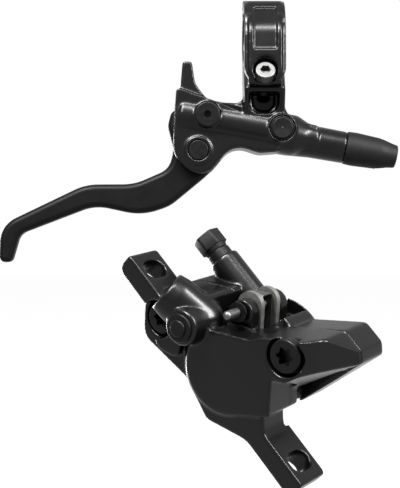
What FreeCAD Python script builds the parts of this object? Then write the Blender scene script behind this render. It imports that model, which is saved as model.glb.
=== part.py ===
"""A hydraulic disc brake: a right-hand flat-bar lever with its master cylinder, and a two-piston caliper.

The lever stands in the document's own axes: X along the handlebar, Z up in the blade's plane, Y away
from the lever's front, with the origin on the axis of the handlebar clamp.
The caliper is drawn in axes of its own, X along the line of its two mounting holes, Y along the rotor's
axis from the outboard half to the inboard half, Z along the mounting bolts, and one placement sets all of
its pieces beside the lever.
"""
import FreeCAD, Part
import math
import os
import re
import Sketcher

SIZES = [
    ("bar_diameter", 22.2, "handlebar that the clamp closes on"),
    ("bar_clearance", 0.05, "between the bar and the clamp's bore"),
    ("clamp_width", 17.4, "clamp along the bar"),
    ("clamp_wall", 3.4, "band's thickness round the bar"),
    ("clamp_tilt", 60.0, "turn of the clamp's split about the bar"),
    ("clamp_gap", 0.9, "slit between the band and the body's half"),
    ("hinge_reach", 15.5, "bar's axis to the clamp's hinge pin"),
    ("knuckle_radius", 3.3, "hinge knuckle"),
    ("tongue_width", 7.8, "band's knuckle between the body's two"),
    ("hinge_pin_diameter", 3.0, "hinge pin"),
    ("bolt_reach", 23.6, "bar's axis to the clamp bolt"),
    ("band_lobe", 4.0, "bolt's axis to the end of the body's lug"),
    ("band_front", 18.4, "bar's axis to the flat front of the band"),
    ("band_bottom", 23.4, "bar's axis to the rounded lower end of the band"),
    ("band_edge", 1.5, "chamfer round the band's front"),
    ("recess_half", 4.9, "half width of the recess in the band's front"),
    ("recess_depth", 1.3, "recess in the band's front"),
    ("bolt_seat_height", 2.9, "bolt's seat over the split"),
    ("lug_depth", 9.5, "body's lug under the split"),
    ("clamp_bolt_diameter", 5.0, "clamp bolt's shank"),
    ("clamp_bolt_head", 8.4, "clamp bolt's head"),
    ("clamp_bolt_key", 4.0, "hexagon socket across flats"),
    ("clearance", 0.3, "room between neighbours that don't touch"),
    ("running_fit", 0.05, "radial room of a turning or sliding fit"),
    ("pivot_x", -27.9, "lever's pivot along the bar"),
    ("pivot_z", -49.7, "lever's pivot below the bar's axis"),
    ("cylinder_tilt", -10.2, "master cylinder's axis against the bar"),
    ("cylinder_offset", 12.8, "pivot to the master cylinder's axis"),
    ("barrel_radius", 7.9, "outside of the master cylinder"),
    ("barrel_end_radius", 6.8, "outside of the hose end"),
    ("barrel_length", 61.5, "foot of the pivot to the hose end"),
    ("master_bore_radius", 5.0, "master cylinder's bore"),
    ("bore_mouth", 4.6, "foot of the pivot to the bore's mouth"),
    ("bore_bottom", 46.0, "foot of the pivot to the bore's bottom"),
    ("body_front", 9.0, "pivot lug's face in front of the blade's plane"),
    ("body_back", 8.4, "pivot lug's face behind the blade's plane"),
    ("cheek_slope", 2.0, "depth of the slope round the front of the pivot lug"),
    ("cheek_angle", 35.0, "lean of that slope"),
    ("neck_edge", 0.8, "neck beyond the bolt's lug, each side"),
    ("panel_front", 10.6, "reservoir's crest in front of the blade's plane"),
    ("reservoir_radius", 8.8, "outside of the reservoir's round body"),
    ("reservoir_rise", 0.9, "reservoir's axis over the cylinder's axis"),
    ("panel_rise", 2.5, "bleed screw and plug over the cylinder's axis"),
    ("boss_height", 0.6, "bosses of the bleed screw and the plug over the reservoir's crest"),
    ("screw_height", 1.3, "bleed screw's head over its boss"),
    ("bleed_place", 1.2, "foot of the pivot to the bleed screw"),
    ("port_place", 33.2, "foot of the pivot to the reservoir's plug"),
    ("bleed_screw_radius", 5.5, "bleed screw's head"),
    ("plug_radius", 5.2, "reservoir plug's head"),
    ("chamber_radius", 4.2, "reservoir's chamber"),
    ("pivot_pin_radius", 2.5, "pivot pin"),
    ("pivot_head_radius", 4.2, "pivot pin's head"),
    ("pivot_rim_radius", 5.7, "rim round the pivot pin's head"),
    ("blade_length", 85.2, "pivot to the blade's tip along the bar"),
    ("blade_drop", 47.5, "pivot to the blade's tip away from the bar"),
    ("blade_thickness", 8.4, "blade across its plane"),
    ("blade_rounding", 2.4, "blade's long edges"),
    ("tip_width", 5.3, "blade's tip along the bar"),
    ("hub_radius", 8.0, "blade's hub"),
    ("hub_room", 0.5, "each side of the hub, where the bushes' flanges lie"),
    ("bush_wall", 0.9, "pivot bush's wall"),
    ("rod_pin_back", 5.4, "rod's pin behind the foot of the pivot"),
    ("rod_pin_radius", 1.4, "rod's pin"),
    ("rod_radius", 1.7, "push rod"),
    ("rod_eye_width", 4.2, "push rod's eye across the blade's plane"),
    ("master_piston_length", 23.2, "master piston without its cup"),
    ("piston_skirt", 5.2, "depth of the cup that takes the rod"),
    ("hose_radius", 2.5, "brake hose"),
    ("nut_radius", 4.2, "compression nut's thread"),
    ("cover_length", 22.4, "rubber hose cover"),
    ("cover_radius", 7.2, "hose cover at the body"),
    ("brace_width", 8.0, "brace that meets the bar"),
    ("post_spacing", 74.2, "caliper's mounting holes"),
    ("post_slot_length", 9.2, "mounting slot along the rotor's axis"),
    ("post_slot_width", 6.4, "mounting slot"),
    ("post_offset", 10.2, "mounting holes' plane to the rotor's plane"),
    ("tab_width", 13.6, "mounting tab along the rotor's axis"),
    ("tab_thickness", 6.6, "mounting tab along its bolt"),
    ("tab_end", 7.0, "mounting hole to the tab's end"),
    ("pad_tilt", 40.0, "turn of the pads against the line of the mounting holes"),
    ("piston_place", 4.4, "pistons' axis along the pads' width"),
    ("caliper_piston_radius", 11.0, "caliper piston"),
    ("piston_depth", 9.4, "caliper piston's length"),
    ("body_radius", 17.0, "round body over a piston"),
    ("half_depth", 18.0, "rotor's plane to the face of a half"),
    ("rotor_room", 1.2, "rotor's plane to a pad's lining"),
    ("rotor_radius", 80.0, "rotor's edge"),
    ("rotor_reach", 8.0, "rotor's edge over the pistons' axis"),
    ("lining_thickness", 2.2, "friction lining"),
    ("plate_thickness", 1.8, "pad's steel plate"),
    ("pad_width", 30.0, "pad along the rotor's travel"),
    ("pad_bottom", 11.0, "pad's lower edge under the pistons' axis"),
    ("pad_top", 9.0, "pad's shoulder over the pistons' axis"),
    ("pad_tab_top", 21.9, "pad's tab over the pistons' axis"),
    ("pad_tab_radius", 4.3, "half width of the pad's tab"),
    ("axle_rise", 16.8, "pad axle over the pistons' axis"),
    ("axle_radius", 1.4, "pad axle"),
    ("near_bolt_place", -22.3, "body bolt at the hose's side, along the pads' width"),
    ("near_bolt_rise", 9.8, "body bolt at the hose's side, over the pistons' axis"),
    ("bolt_to_nose", 15.6, "body bolt in the nose to the nose's tip"),
    ("far_bolt_rise", 9.2, "body bolt in the nose, over the pistons' axis"),
    ("body_bolt_radius", 3.0, "body bolt's shank"),
    ("body_bolt_head_radius", 5.1, "body bolt's head"),
    ("nose_reach", 41.0, "nose's tip along the pads' width"),
    ("port_tilt", 22.0, "hose port's axis against the line of the mounting holes"),
    ("port_radius", 7.4, "hose port's outside"),
    ("port_rise", 4.0, "hose port's axis over the tabs' faces"),
    ("hose_port_x", -26.7, "hose port's mouth along the line of the mounting holes"),
    ("hose_port_y", -18.2, "hose port's mouth along the rotor's axis"),
    ("bleed_boss_radius", 5.0, "bleed boss"),
    ("bleed_boss_rise", 9.6, "bleed boss over the tabs' faces"),
    ("bleed_boss_y", 9.2, "bleed boss along the rotor's axis"),
    ("bleed_boss_mouth", -29.0, "bleed boss's mouth along the line of the mounting holes"),
    ("caliper_x", -13.5, "caliper's place along the bar"),
    ("caliper_y", -137.6, "caliper's place before the blade's plane"),
    ("caliper_z", -123.7, "caliper's place below the bar"),
    ("caliper_yaw", -26.9, "caliper's turn about the upright axis"),
    ("caliper_pitch", 49.1, "caliper's turn about its own Y"),
    ("caliper_roll", 13.0, "caliper's turn about its own X"),
]
NAMES = {name for name, size, meaning in SIZES}

doc = FreeCAD.newDocument("hydraulic_disc_brake")
sheet = doc.addObject("Spreadsheet::Sheet", "Sizes")
for row, (name, size, meaning) in enumerate(SIZES, start=1):
    sheet.set("A%d" % row, meaning)
    sheet.set("B%d" % row, str(size))
    sheet.setAlias("B%d" % row, name)
doc.recompute()

# Each plane's role, the sign of its normal in the body's axes, and the axis that its sketches turn about;
# TR, TY and YR are the same three planes in the pads' frame, turned by the pads' tilt, and BOLT is square
# to the clamp bolt
PLANES = {"XY": ("XY_Plane", 1, (0, 0, 1)), "XZ": ("XZ_Plane", -1, (0, 0, 1)),
          "YZ": ("YZ_Plane", 1, (0, 0, 1)), "TR": ("XZ_Plane", -1, (0, 0, 1)),
          "TY": ("XY_Plane", 1, (0, -1, 0)), "YR": ("YZ_Plane", 1, (-1, 0, 0)),
          "BOLT": ("XY_Plane", 1, (1, 0, 0))}
bodies = []


def number(text):
    """The value of an expression in the sheet's names."""
    return float(sheet.evalExpression(str(text)))


def tied(text):
    """The same expression with each name pointing at the sheet."""
    return re.sub(r"[a-z][a-z0-9_]*", lambda word: "Sizes." + word.group()
                  if word.group() in NAMES else word.group(), str(text))


def bind(thing, prop, text):
    """Set one property, and keep it tied to the sheet."""
    thing.setExpression(prop, tied(text))


def start(label):
    body = doc.addObject("PartDesign::Body", label)
    body.Label = label
    bodies.append(body)
    return body


def pin_point(sketch, geometry, point, place):
    """Hold one point of the sketch at a place given by two expressions."""
    for kind, text in zip(("DistanceX", "DistanceY"), place):
        index = sketch.addConstraint(
            Sketcher.Constraint(kind, -1, 1, geometry, point, number(text)))
        bind(sketch, "Constraints[%d]" % index, text)


def draw_circle(sketch, x, y, radius):
    centre = FreeCAD.Vector(number(x), number(y), 0)
    circle = sketch.addGeometry(Part.Circle(centre, FreeCAD.Vector(0, 0, 1), number(radius)))
    pin_point(sketch, circle, 3, (x, y))
    index = sketch.addConstraint(Sketcher.Constraint("Radius", circle, number(radius)))
    bind(sketch, "Constraints[%d]" % index, radius)


def draw_slot(sketch, x1, x2, y, radius):
    """Two half circles about (x1, y) and (x2, y), joined by straight sides."""
    left, right, mid, reach = number(x1), number(x2), number(y), number(radius)
    up = FreeCAD.Vector(0, 0, 1)
    first = Part.ArcOfCircle(
        Part.Circle(FreeCAD.Vector(left, mid, 0), up, reach), math.pi / 2, 1.5 * math.pi)
    last = Part.ArcOfCircle(
        Part.Circle(FreeCAD.Vector(right, mid, 0), up, reach), -math.pi / 2, math.pi / 2)
    low = Part.LineSegment(FreeCAD.Vector(left, mid - reach, 0), FreeCAD.Vector(right, mid - reach, 0))
    top = Part.LineSegment(FreeCAD.Vector(right, mid + reach, 0), FreeCAD.Vector(left, mid + reach, 0))
    a, b, c, d = [sketch.addGeometry(piece) for piece in (first, low, last, top)]
    sketch.addConstraint(Sketcher.Constraint("Tangent", a, 2, b, 1))
    sketch.addConstraint(Sketcher.Constraint("Tangent", b, 2, c, 1))
    sketch.addConstraint(Sketcher.Constraint("Tangent", c, 2, d, 1))
    sketch.addConstraint(Sketcher.Constraint("Tangent", d, 2, a, 1))
    pin_point(sketch, a, 3, (x1, y))
    pin_point(sketch, c, 3, (x2, y))
    index = sketch.addConstraint(Sketcher.Constraint("Radius", a, reach))
    bind(sketch, "Constraints[%d]" % index, radius)


def draw_outline(sketch, corners):
    """A closed outline of straight sides; a corner with a third value is rounded to that radius."""
    points = [FreeCAD.Vector(number(c[0]), number(c[1]), 0) for c in corners]
    count = len(points)
    cuts = []
    for i, corner in enumerate(corners):
        before = (points[i - 1] - points[i]).normalize()
        after = (points[(i + 1) % count] - points[i]).normalize()
        radius = number(corner[2]) if len(corner) > 2 else 0
        half = before.getAngle(after) / 2
        reach = radius / math.tan(half)
        centre = points[i] + (before + after).normalize() * (radius / math.sin(half)) if radius else None
        cuts.append((points[i] + before * reach, points[i] + after * reach, centre, radius))
    lines = []
    for i in range(count):
        lines.append(sketch.addGeometry(Part.LineSegment(cuts[i][1], cuts[(i + 1) % count][0])))
    for i, corner in enumerate(corners):
        before, after = lines[i - 1], lines[i]
        come, leave, centre, radius = cuts[i]
        if not radius:
            sketch.addConstraint(Sketcher.Constraint("Coincident", before, 2, after, 1))
            pin_point(sketch, after, 1, corner[:2])
            continue
        a, b = come - centre, leave - centre
        turn = a.cross(b).z
        first, last = (a, b) if turn > 0 else (b, a)
        arc = Part.ArcOfCircle(Part.Circle(centre, FreeCAD.Vector(0, 0, 1), radius),
                               math.atan2(first.y, first.x), math.atan2(last.y, last.x))
        arc = sketch.addGeometry(arc)
        tip = sketch.addGeometry(Part.Point(points[i]), True)
        pin_point(sketch, tip, 1, corner[:2])
        sketch.addConstraint(Sketcher.Constraint("PointOnObject", tip, 1, before))
        sketch.addConstraint(Sketcher.Constraint("PointOnObject", tip, 1, after))
        sketch.addConstraint(Sketcher.Constraint("Tangent", before, 2, arc, 1 if turn > 0 else 2))
        sketch.addConstraint(Sketcher.Constraint("Tangent", after, 1, arc, 2 if turn > 0 else 1))
        index = sketch.addConstraint(Sketcher.Constraint("Radius", arc, radius))
        bind(sketch, "Constraints[%d]" % index, corner[2])


def draw(body, plane, loops, at=(0, 0, 0), angle=0):
    """A sketch on one of the body's planes, moved to a place given in the body's axes."""
    role, sign, axis = PLANES[plane]
    sketch = body.newObject("Sketcher::SketchObject", body.Label + "_sketch")
    origin_plane = [thing for thing in body.Origin.OriginFeatures if thing.Role == role][0]
    sketch.AttachmentSupport = [(origin_plane, "")]
    sketch.MapMode = "FlatFace"
    x, y, z = at
    if plane == "BOLT":
        angle = "clamp_tilt"
    if plane in ("TR", "TY", "YR"):
        angle = "pad_tilt"
        x, z = "(%s) * cos(pad_tilt) - (%s) * sin(pad_tilt)" % (x, z), \
            "(%s) * sin(pad_tilt) + (%s) * cos(pad_tilt)" % (x, z)
    sketch.AttachmentOffset = FreeCAD.Placement(
        FreeCAD.Vector(), FreeCAD.Rotation(FreeCAD.Vector(*axis), number(angle)))
    place = {"XY_Plane": (x, y, z), "XZ_Plane": (x, z, "-(%s)" % y), "YZ_Plane": (y, z, x)}[role]
    for letter, text in zip("xyz", place):
        bind(sketch, "AttachmentOffset.Base." + letter, text)
    if number(angle):
        bind(sketch, "AttachmentOffset.Rotation.Angle", angle)
    for loop in loops:
        if loop[0] == "circle":
            draw_circle(sketch, *loop[1:])
        elif loop[0] == "slot":
            draw_slot(sketch, *loop[1:])
        else:
            draw_outline(sketch, loop)
    return sketch


def raise_profile(kind, body, plane, loops, begin, end, at, angle):
    """A Pad or Pocket between two heights along the plane's axis of the body."""
    sign = PLANES[plane][1]
    first, second = at
    place = {"XY": (first, second, begin), "YZ": (begin, first, second), "YR": (begin, first, second),
             "BOLT": clamp_bolt_at(begin)}
    sketch = draw(body, plane, loops, place.get(plane, (first, begin, second)), angle)
    feature = body.newObject("PartDesign::" + kind, body.Label + "_" + kind.lower())
    feature.Profile = sketch
    bind(feature, "Length", "(%s) - (%s)" % (end, begin))
    feature.Reversed = sign < 0 if kind == "Pad" else sign > 0
    body.Tip = feature
    return feature


def pad(body, plane, loops, begin, end, at=(0, 0), angle=0):
    return raise_profile("Pad", body, plane, loops, begin, end, at, angle)


def pocket(body, plane, loops, begin, end, at=(0, 0), angle=0):
    return raise_profile("Pocket", body, plane, loops, begin, end, at, angle)


def spin(kind, body, plane, loops, at, angle, sweep=360):
    """A Revolution or Groove about the sketch's own level axis: corners are (along, radius)."""
    sketch = draw(body, plane, loops, at, angle)
    feature = body.newObject("PartDesign::" + kind, body.Label + "_" + kind.lower())
    feature.Profile = sketch
    feature.ReferenceAxis = (sketch, ["H_Axis"])
    feature.Angle = sweep
    feature.Midplane = sweep < 360
    body.Tip = feature
    return feature


def turned(body, plane, loop, at=(0, 0, 0), angle=0, sweep=360):
    return spin("Revolution", body, plane, [loop], at, angle, sweep)


def bored(body, plane, loop, at=(0, 0, 0), angle=0, sweep=360):
    return spin("Groove", body, plane, [loop], at, angle, sweep)


def bar_outline(begin, end, radius):
    """The half section of a plain round bar or hole."""
    return [(begin, 0), (end, 0), (end, radius), (begin, radius)]


def ring_outline(begin, end, inner, outer):
    """The half section of a washer or tube."""
    return [(begin, inner), (end, inner), (end, outer), (begin, outer)]


def soften(body, radius, choose, kind="Fillet"):
    """Round or chamfer the edges of the body so far that the test picks."""
    doc.recompute()
    base = body.Tip
    edges = ["Edge%d" % (i + 1) for i, edge in enumerate(base.Shape.Edges) if choose(edge)]
    feature = body.newObject("PartDesign::" + kind, body.Label + "_" + kind.lower())
    feature.Base = (base, edges)
    bind(feature, "Radius" if kind == "Fillet" else "Size", radius)
    body.Tip = feature
    return feature


def hexagon(flats, x=0, y=0, rounding=0):
    """The corners of a hexagon of this width across its flats."""
    return [("%s + (%s) / sqrt(3) * cos(%d)" % (x, flats, turn),
             "%s + (%s) / sqrt(3) * sin(%d)" % (y, flats, turn), rounding) for turn in range(0, 360, 60)]


def star(x, y, radius):
    """The corners of a star socket with six rounded points."""
    corners = []
    for turn in range(0, 360, 30):
        share = 1.16 if turn % 60 == 0 else 0.7
        corners.append(("%s + %s * %s * cos(%d)" % (x, radius, share, turn),
                        "%s + %s * %s * sin(%d)" % (y, radius, share, turn), "0.16 * %s" % radius))
    return corners


# Places that several pieces share, in the sheet's names
BORE = "(bar_diameter / 2 + bar_clearance)"
BAND = "(%s + clamp_wall)" % BORE
FOOT_X = "(pivot_x + cylinder_offset * sin(-cylinder_tilt))"
FOOT_Z = "(pivot_z + cylinder_offset * cos(cylinder_tilt))"
FOOT = (FOOT_X, 0, FOOT_Z)
RESERVOIR = ("%s - reservoir_rise * sin(cylinder_tilt)" % FOOT_X, "reservoir_radius - panel_front",
             "%s + reservoir_rise * cos(cylinder_tilt)" % FOOT_Z)
HUB_HALF = "(blade_thickness / 2 + hub_room)"
ROD_PIN_X = "(%s - rod_pin_back * cos(cylinder_tilt))" % FOOT_X
ROD_PIN_Z = "(%s - rod_pin_back * sin(cylinder_tilt))" % FOOT_Z


def along_cylinder(label, loop):
    """A new body turned about the master cylinder's axis, measured from the foot of the pivot."""
    body = start(label)
    turned(body, "XZ", loop, FOOT, "cylinder_tilt")
    return body


def clamp_bolt_at(height):
    """The clamp bolt's axis as a sketch origin in the turned frame of the clamp, at a height."""
    return ("0", "-bolt_reach * cos(clamp_tilt) - (%s) * sin(clamp_tilt)" % height,
            "-bolt_reach * sin(clamp_tilt) + (%s) * cos(clamp_tilt)" % height)


def lever_body():
    """The casting that holds the bar, the master cylinder, the reservoir and the pivot."""
    body = start("lever_body")
    half = "clamp_width / 2"
    # Cheeks about the blade's hub, and the web under the cylinder, with sloping front edges
    cheek = [("-9.4", "27", 1.5), ("-10.2", "16", 8), ("-10.9", "-1", 9), ("-5", "-8.6", 8),
             ("3.8", "-10.6", 7), ("14.6", "2.4", 9), ("26", "-1.2", 6), ("34", "-0.6"),
             ("34", "10"), ("9", "20.4", 2)]
    pad(body, "XZ", [cheek], "-body_front + cheek_slope", "body_back", ("pivot_x", "pivot_z"))
    slope = pad(body, "XZ", [cheek], "-body_front", "-body_front + cheek_slope", ("pivot_x", "pivot_z"))
    bind(slope, "TaperAngle", "-cheek_angle")
    # Half ring behind the split, with the lug that the clamp bolt screws into
    pad(body, "YZ", [("circle", 0, 0, BAND)], "-" + half, half, angle="clamp_tilt")
    pocket(body, "YZ", [[("-2 * bolt_reach", "-clamp_gap / 2"), ("2 * bolt_reach", "-clamp_gap / 2"),
                         ("2 * bolt_reach", "2 * bolt_reach"), ("-2 * bolt_reach", "2 * bolt_reach")]],
           "-clamp_width", "clamp_width", angle="clamp_tilt")
    pad(body, "YZ", [[("-bolt_reach - band_lobe", "-clamp_gap / 2"), ("-%s" % BORE, "-clamp_gap / 2"),
                      ("-%s" % BORE, "-lug_depth - 4", 2), ("-bolt_reach", "-lug_depth - 4", 4),
                      ("-bolt_reach - band_lobe", "-lug_depth / 2", 3)]],
        "-%s + neck_edge" % half, half + " - neck_edge", angle="clamp_tilt")
    # Neck from the clamp down to the cylinder, flared at its foot
    pad(body, "YZ", [[("-13", "-24.5", 1), ("-4", "-12"), ("10", "-9.5"), ("11.8", "-13", 4),
                      ("7.4", "-30", 8), ("6.5", "-44"), ("-7.5", "-44"), ("-9.6", "-33", 5)]],
        "-" + half, half)
    pad(body, "XZ", [[("-%s" % half, "-18"), (half, "-18"), (half, "-36.4", 9), ("23", "-39"),
                      ("23", "-46"), ("-18", "-38"), ("-18", "-29.2"), ("-%s" % half, "-29.6", 3.4)]],
        "-6", "6")
    # Master cylinder with its slimmer hose end, and the reservoir's round body over it
    turned(body, "XZ", [("-6", 0), ("barrel_length", 0), ("barrel_length", "barrel_end_radius"),
                        ("barrel_length - 15", "barrel_end_radius + 0.2", 14),
                        ("barrel_length - 25", "barrel_radius"), ("-6", "barrel_radius")],
           FOOT, "cylinder_tilt")
    turned(body, "XZ", [("-10.9", 0), ("port_place + 16", 0), ("port_place + 16", "reservoir_radius - 3"),
                        ("port_place + 11", "reservoir_radius - 2.4", 9),
                        ("port_place + 6", "reservoir_radius", 5), ("-10.9", "reservoir_radius", 1.4)],
           RESERVOIR, "cylinder_tilt")
    # Brace that meets the bar
    pad(body, "XZ", [[("-6.8", "38.3", 1), ("-2.8", "38.3", 1), ("-1.4", "29", 8), ("3.4", "22.4", 10),
                      ("9", "20"), ("-8", "20"), ("-7.5", "30", 6)]],
        "-brace_width / 2", "brace_width / 2", ("pivot_x", "pivot_z"))
    # Rim round the pivot pin's head, and the bosses of the bleed screw and the reservoir's plug
    pad(body, "XZ", [("circle", "pivot_x", "pivot_z", "pivot_rim_radius")],
        "-body_front - 0.8", 0)
    for place, radius in (("bleed_place", "bleed_screw_radius"), ("port_place", "plug_radius + 0.9")):
        pad(body, "XZ", [("circle", place, "panel_rise", radius)],
            "-panel_front - boss_height", 0, (FOOT_X, FOOT_Z), "cylinder_tilt")
    # Hinge knuckles each side of the band's tongue
    for side in (-1, 1):
        inner, outer = "tongue_width / 2 + clearance", "clamp_width / 2"
        begin, end = (inner, outer) if side > 0 else ("-" + outer, "-(%s)" % inner)
        pad(body, "YZ", [("circle", "hinge_reach", 0, "knuckle_radius")], begin, end, angle="clamp_tilt")
    # Room for the blade, open to the left and below
    pocket(body, "XZ", [[("-20", "21.2"), ("-1.5", "21.2", 2), ("5.6", "17.6", 2), ("7.0", "9.6"),
                         ("9.4", "6", 2), ("9.4", "-20"), ("-20", "-20")]],
           "-" + HUB_HALF, HUB_HALF, ("pivot_x", "pivot_z"))
    # Bore for the bar, room for the band's tongue and the hinge pin's hole
    pocket(body, "YZ", [("circle", 0, 0, BORE)], "-clamp_width", "clamp_width")
    pocket(body, "YZ", [("circle", "hinge_reach", 0, "knuckle_radius + clearance")],
           "-tongue_width / 2 - clearance", "tongue_width / 2 + clearance", angle="clamp_tilt")
    pocket(body, "YZ", [("circle", "hinge_reach", 0, "hinge_pin_diameter / 2")],
           "-clamp_width", "clamp_width", angle="clamp_tilt")
    # Hollow between the neck's two legs, in two steps
    for left, right, bottom, rounding, depth in ((-6.5, 6.1, -34.4, 5, -5.6), (-5, 4.6, -33, 4, -2.2)):
        pocket(body, "XZ", [[(left, "-25.6"), (right, "-25.6"), (right, bottom, rounding),
                             (left, bottom, rounding)]], "-20", depth)
    # Tapped hole for the clamp bolt
    bored(body, "YZ", bar_outline("-lug_depth - 3", "lug_depth", "clamp_bolt_diameter / 2"),
          clamp_bolt_at(0), "clamp_tilt + 90")
    # Master cylinder's bore, the hose's gland and the passage between them
    gland, bore, groove = "nut_radius + running_fit", "master_bore_radius", "master_bore_radius + 0.6"
    bored(body, "XZ", [("bore_mouth - 2", 0), ("barrel_length + 1", 0), ("barrel_length + 1", gland),
                       ("bore_bottom + 3", gland), ("bore_bottom + 3", 1.2), ("bore_bottom", 1.2),
                       ("bore_bottom", bore), ("bore_mouth + 1.8", bore), ("bore_mouth + 1.8", groove),
                       ("bore_mouth + 0.8", groove), ("bore_mouth + 0.8", bore), ("bore_mouth - 2", bore)],
          FOOT, "cylinder_tilt")
    # Reservoir's chamber under its plug, with the port into the bore
    for radius, depth in (("plug_radius + 0.2", "1.5"), ("chamber_radius", "4.6"), ("0.6", "7")):
        pocket(body, "XZ", [("circle", "port_place", "panel_rise", radius)],
               "-panel_front - 2", "-panel_front + %s" % depth, (FOOT_X, FOOT_Z), "cylinder_tilt")
    # Seat and tapped hole of the bleed screw
    pocket(body, "XZ", [("circle", "bleed_place", "panel_rise", 3)],
           "-panel_front - 2", "-panel_front + 5", (FOOT_X, FOOT_Z), "cylinder_tilt")
    # Pivot's hole through both cheeks and the recess for the pin's head
    pocket(body, "XZ", [("circle", "pivot_x", "pivot_z", "pivot_pin_radius + running_fit")], "-20", "20")
    pocket(body, "XZ", [("circle", "pivot_x", "pivot_z", "pivot_head_radius + 0.15")],
           "-body_front - 1", "-body_front + 1")
    return body


def clamp_band():
    """The hinged half of the clamp, with the lobe that takes the bolt's head."""
    body = start("clamp_band")
    half = "clamp_width / 2"
    pad(body, "YZ", [("circle", 0, 0, BAND)], "-" + half, half, angle="clamp_tilt")
    # Front block in two steps, the front one narrower, each rounded below
    for edge, step in (("0", "band_edge"), ("band_edge", "0")):
        side = "(%s - 1.1 * %s)" % (half, edge)
        bottom, corner = "(-band_bottom + %s)" % edge, "8 - " + edge
        pad(body, "YZ", [[("0", "%s - 0.2" % BAND), ("-7", "%s - 0.5 - %s" % (BAND, step), 6),
                          ("-band_front + 1 + %s" % step, "1", 12),
                          ("-band_front + %s" % step, bottom, 3), ("-bolt_reach / 2", bottom + " - 3"),
                          ("0", "0")]], "-" + side, side)
        pocket(body, "XZ", [[("-clamp_width", "-14"), ("-" + side, "-14"), ("-" + side, bottom, corner),
                             (side, bottom, corner), (side, "-14"), ("clamp_width", "-14"),
                             ("clamp_width", "-40"), ("-clamp_width", "-40")]],
               "-40", "-4" if step == "band_edge" else "-band_front + band_edge")
    # Everything below the split belongs to the body
    pocket(body, "YZ", [[("-2 * bolt_reach", "-2 * bolt_reach"), ("2 * bolt_reach", "-2 * bolt_reach"),
                         ("2 * bolt_reach", "clamp_gap / 2"), ("-2 * bolt_reach", "clamp_gap / 2")]],
           "-clamp_width", "clamp_width", angle="clamp_tilt")
    for side in (-1, 1):
        inner, outer = "tongue_width / 2", "clamp_width"
        begin, end = (inner, outer) if side > 0 else ("-" + outer, "-(%s)" % inner)
        pocket(body, "YZ", [("circle", "hinge_reach", 0, "knuckle_radius + clearance")],
               begin, end, angle="clamp_tilt")
    pad(body, "YZ", [("circle", "hinge_reach", 0, "knuckle_radius")],
        "-tongue_width / 2", "tongue_width / 2", angle="clamp_tilt")
    pocket(body, "YZ", [("circle", 0, 0, BORE)], "-clamp_width", "clamp_width")
    pocket(body, "YZ", [("circle", "hinge_reach", 0, "hinge_pin_diameter / 2 + running_fit")],
           "-clamp_width", "clamp_width", angle="clamp_tilt")
    # Recess in the front
    pocket(body, "YZ", [[("-30", "10.6"), ("-9", "10.6"), ("-band_front + 1 + recess_depth", "1.4", 10),
                         ("-band_front + recess_depth", "-8.4", 0.8), ("-30", "-8.4")]],
           "-recess_half", "recess_half")
    # Counterbore and hole of the clamp bolt
    bored(body, "YZ", [("-lug_depth", 0), ("20", 0), ("20", "clamp_bolt_head / 2 + 0.9"),
                       ("bolt_seat_height", "clamp_bolt_head / 2 + 0.9"),
                       ("bolt_seat_height", "clamp_bolt_diameter / 2 + 0.25"),
                       ("-lug_depth", "clamp_bolt_diameter / 2 + 0.25")],
          clamp_bolt_at(0), "clamp_tilt + 90")
    return body


def clamp_fasteners():
    pin = start("clamp_hinge_pin")
    pad(pin, "YZ", [("circle", "hinge_reach", 0, "hinge_pin_diameter / 2 - 0.02")],
        "-clamp_width / 2 + 0.2", "clamp_width / 2 - 0.2", angle="clamp_tilt")
    bolt = start("clamp_bolt")
    turned(bolt, "YZ", [("-lug_depth + 1", 0), ("bolt_seat_height + clamp_bolt_diameter - 1", 0),
                        ("bolt_seat_height + clamp_bolt_diameter - 1", "clamp_bolt_head / 2", 0.5),
                        ("bolt_seat_height", "clamp_bolt_head / 2"),
                        ("bolt_seat_height", "clamp_bolt_diameter / 2 - running_fit"),
                        ("-lug_depth + 1", "clamp_bolt_diameter / 2 - running_fit", 0.5)],
           clamp_bolt_at(0), "clamp_tilt + 90")
    pocket(bolt, "BOLT", [hexagon("clamp_bolt_key")], "bolt_seat_height + 1.4", "bolt_seat_height + 8")


def blade_outline():
    """The blade in its own plane from the pivot: shares of its length and drop, with radii to match."""
    def at(share_x, share_z, share_radius):
        return ("%s * blade_length" % share_x, "%s * blade_drop" % share_z,
                "%s * blade_length" % share_radius)
    return [("-blade_length", "-blade_drop", "0.48 * tip_width"), at(-0.996, -0.668, 0.14),
            at(-0.567, -0.299, 0.28), at(-0.322, -0.297, 0.28), ("-12.6", "-7.6", 8), ("-10.6", "0.5", 12),
            ("-13.2", "10.5", 7), ("-11.4", "17.8", 3.6), ("-0.2", "17.8", 3.6), ("1.2", "9.5", 6),
            ("8.2", "2.2", 6), ("7.6", "-6.4", 6), ("2.6", "-11.2", 12), ("-12.2", "-23.4", 18),
            at(-0.285, -0.578, 0.3), at(-0.522, -0.488, 0.23), at(-0.896, -0.745, 0.07),
            ("-blade_length + tip_width", "-blade_drop", "0.48 * tip_width")]


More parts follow.
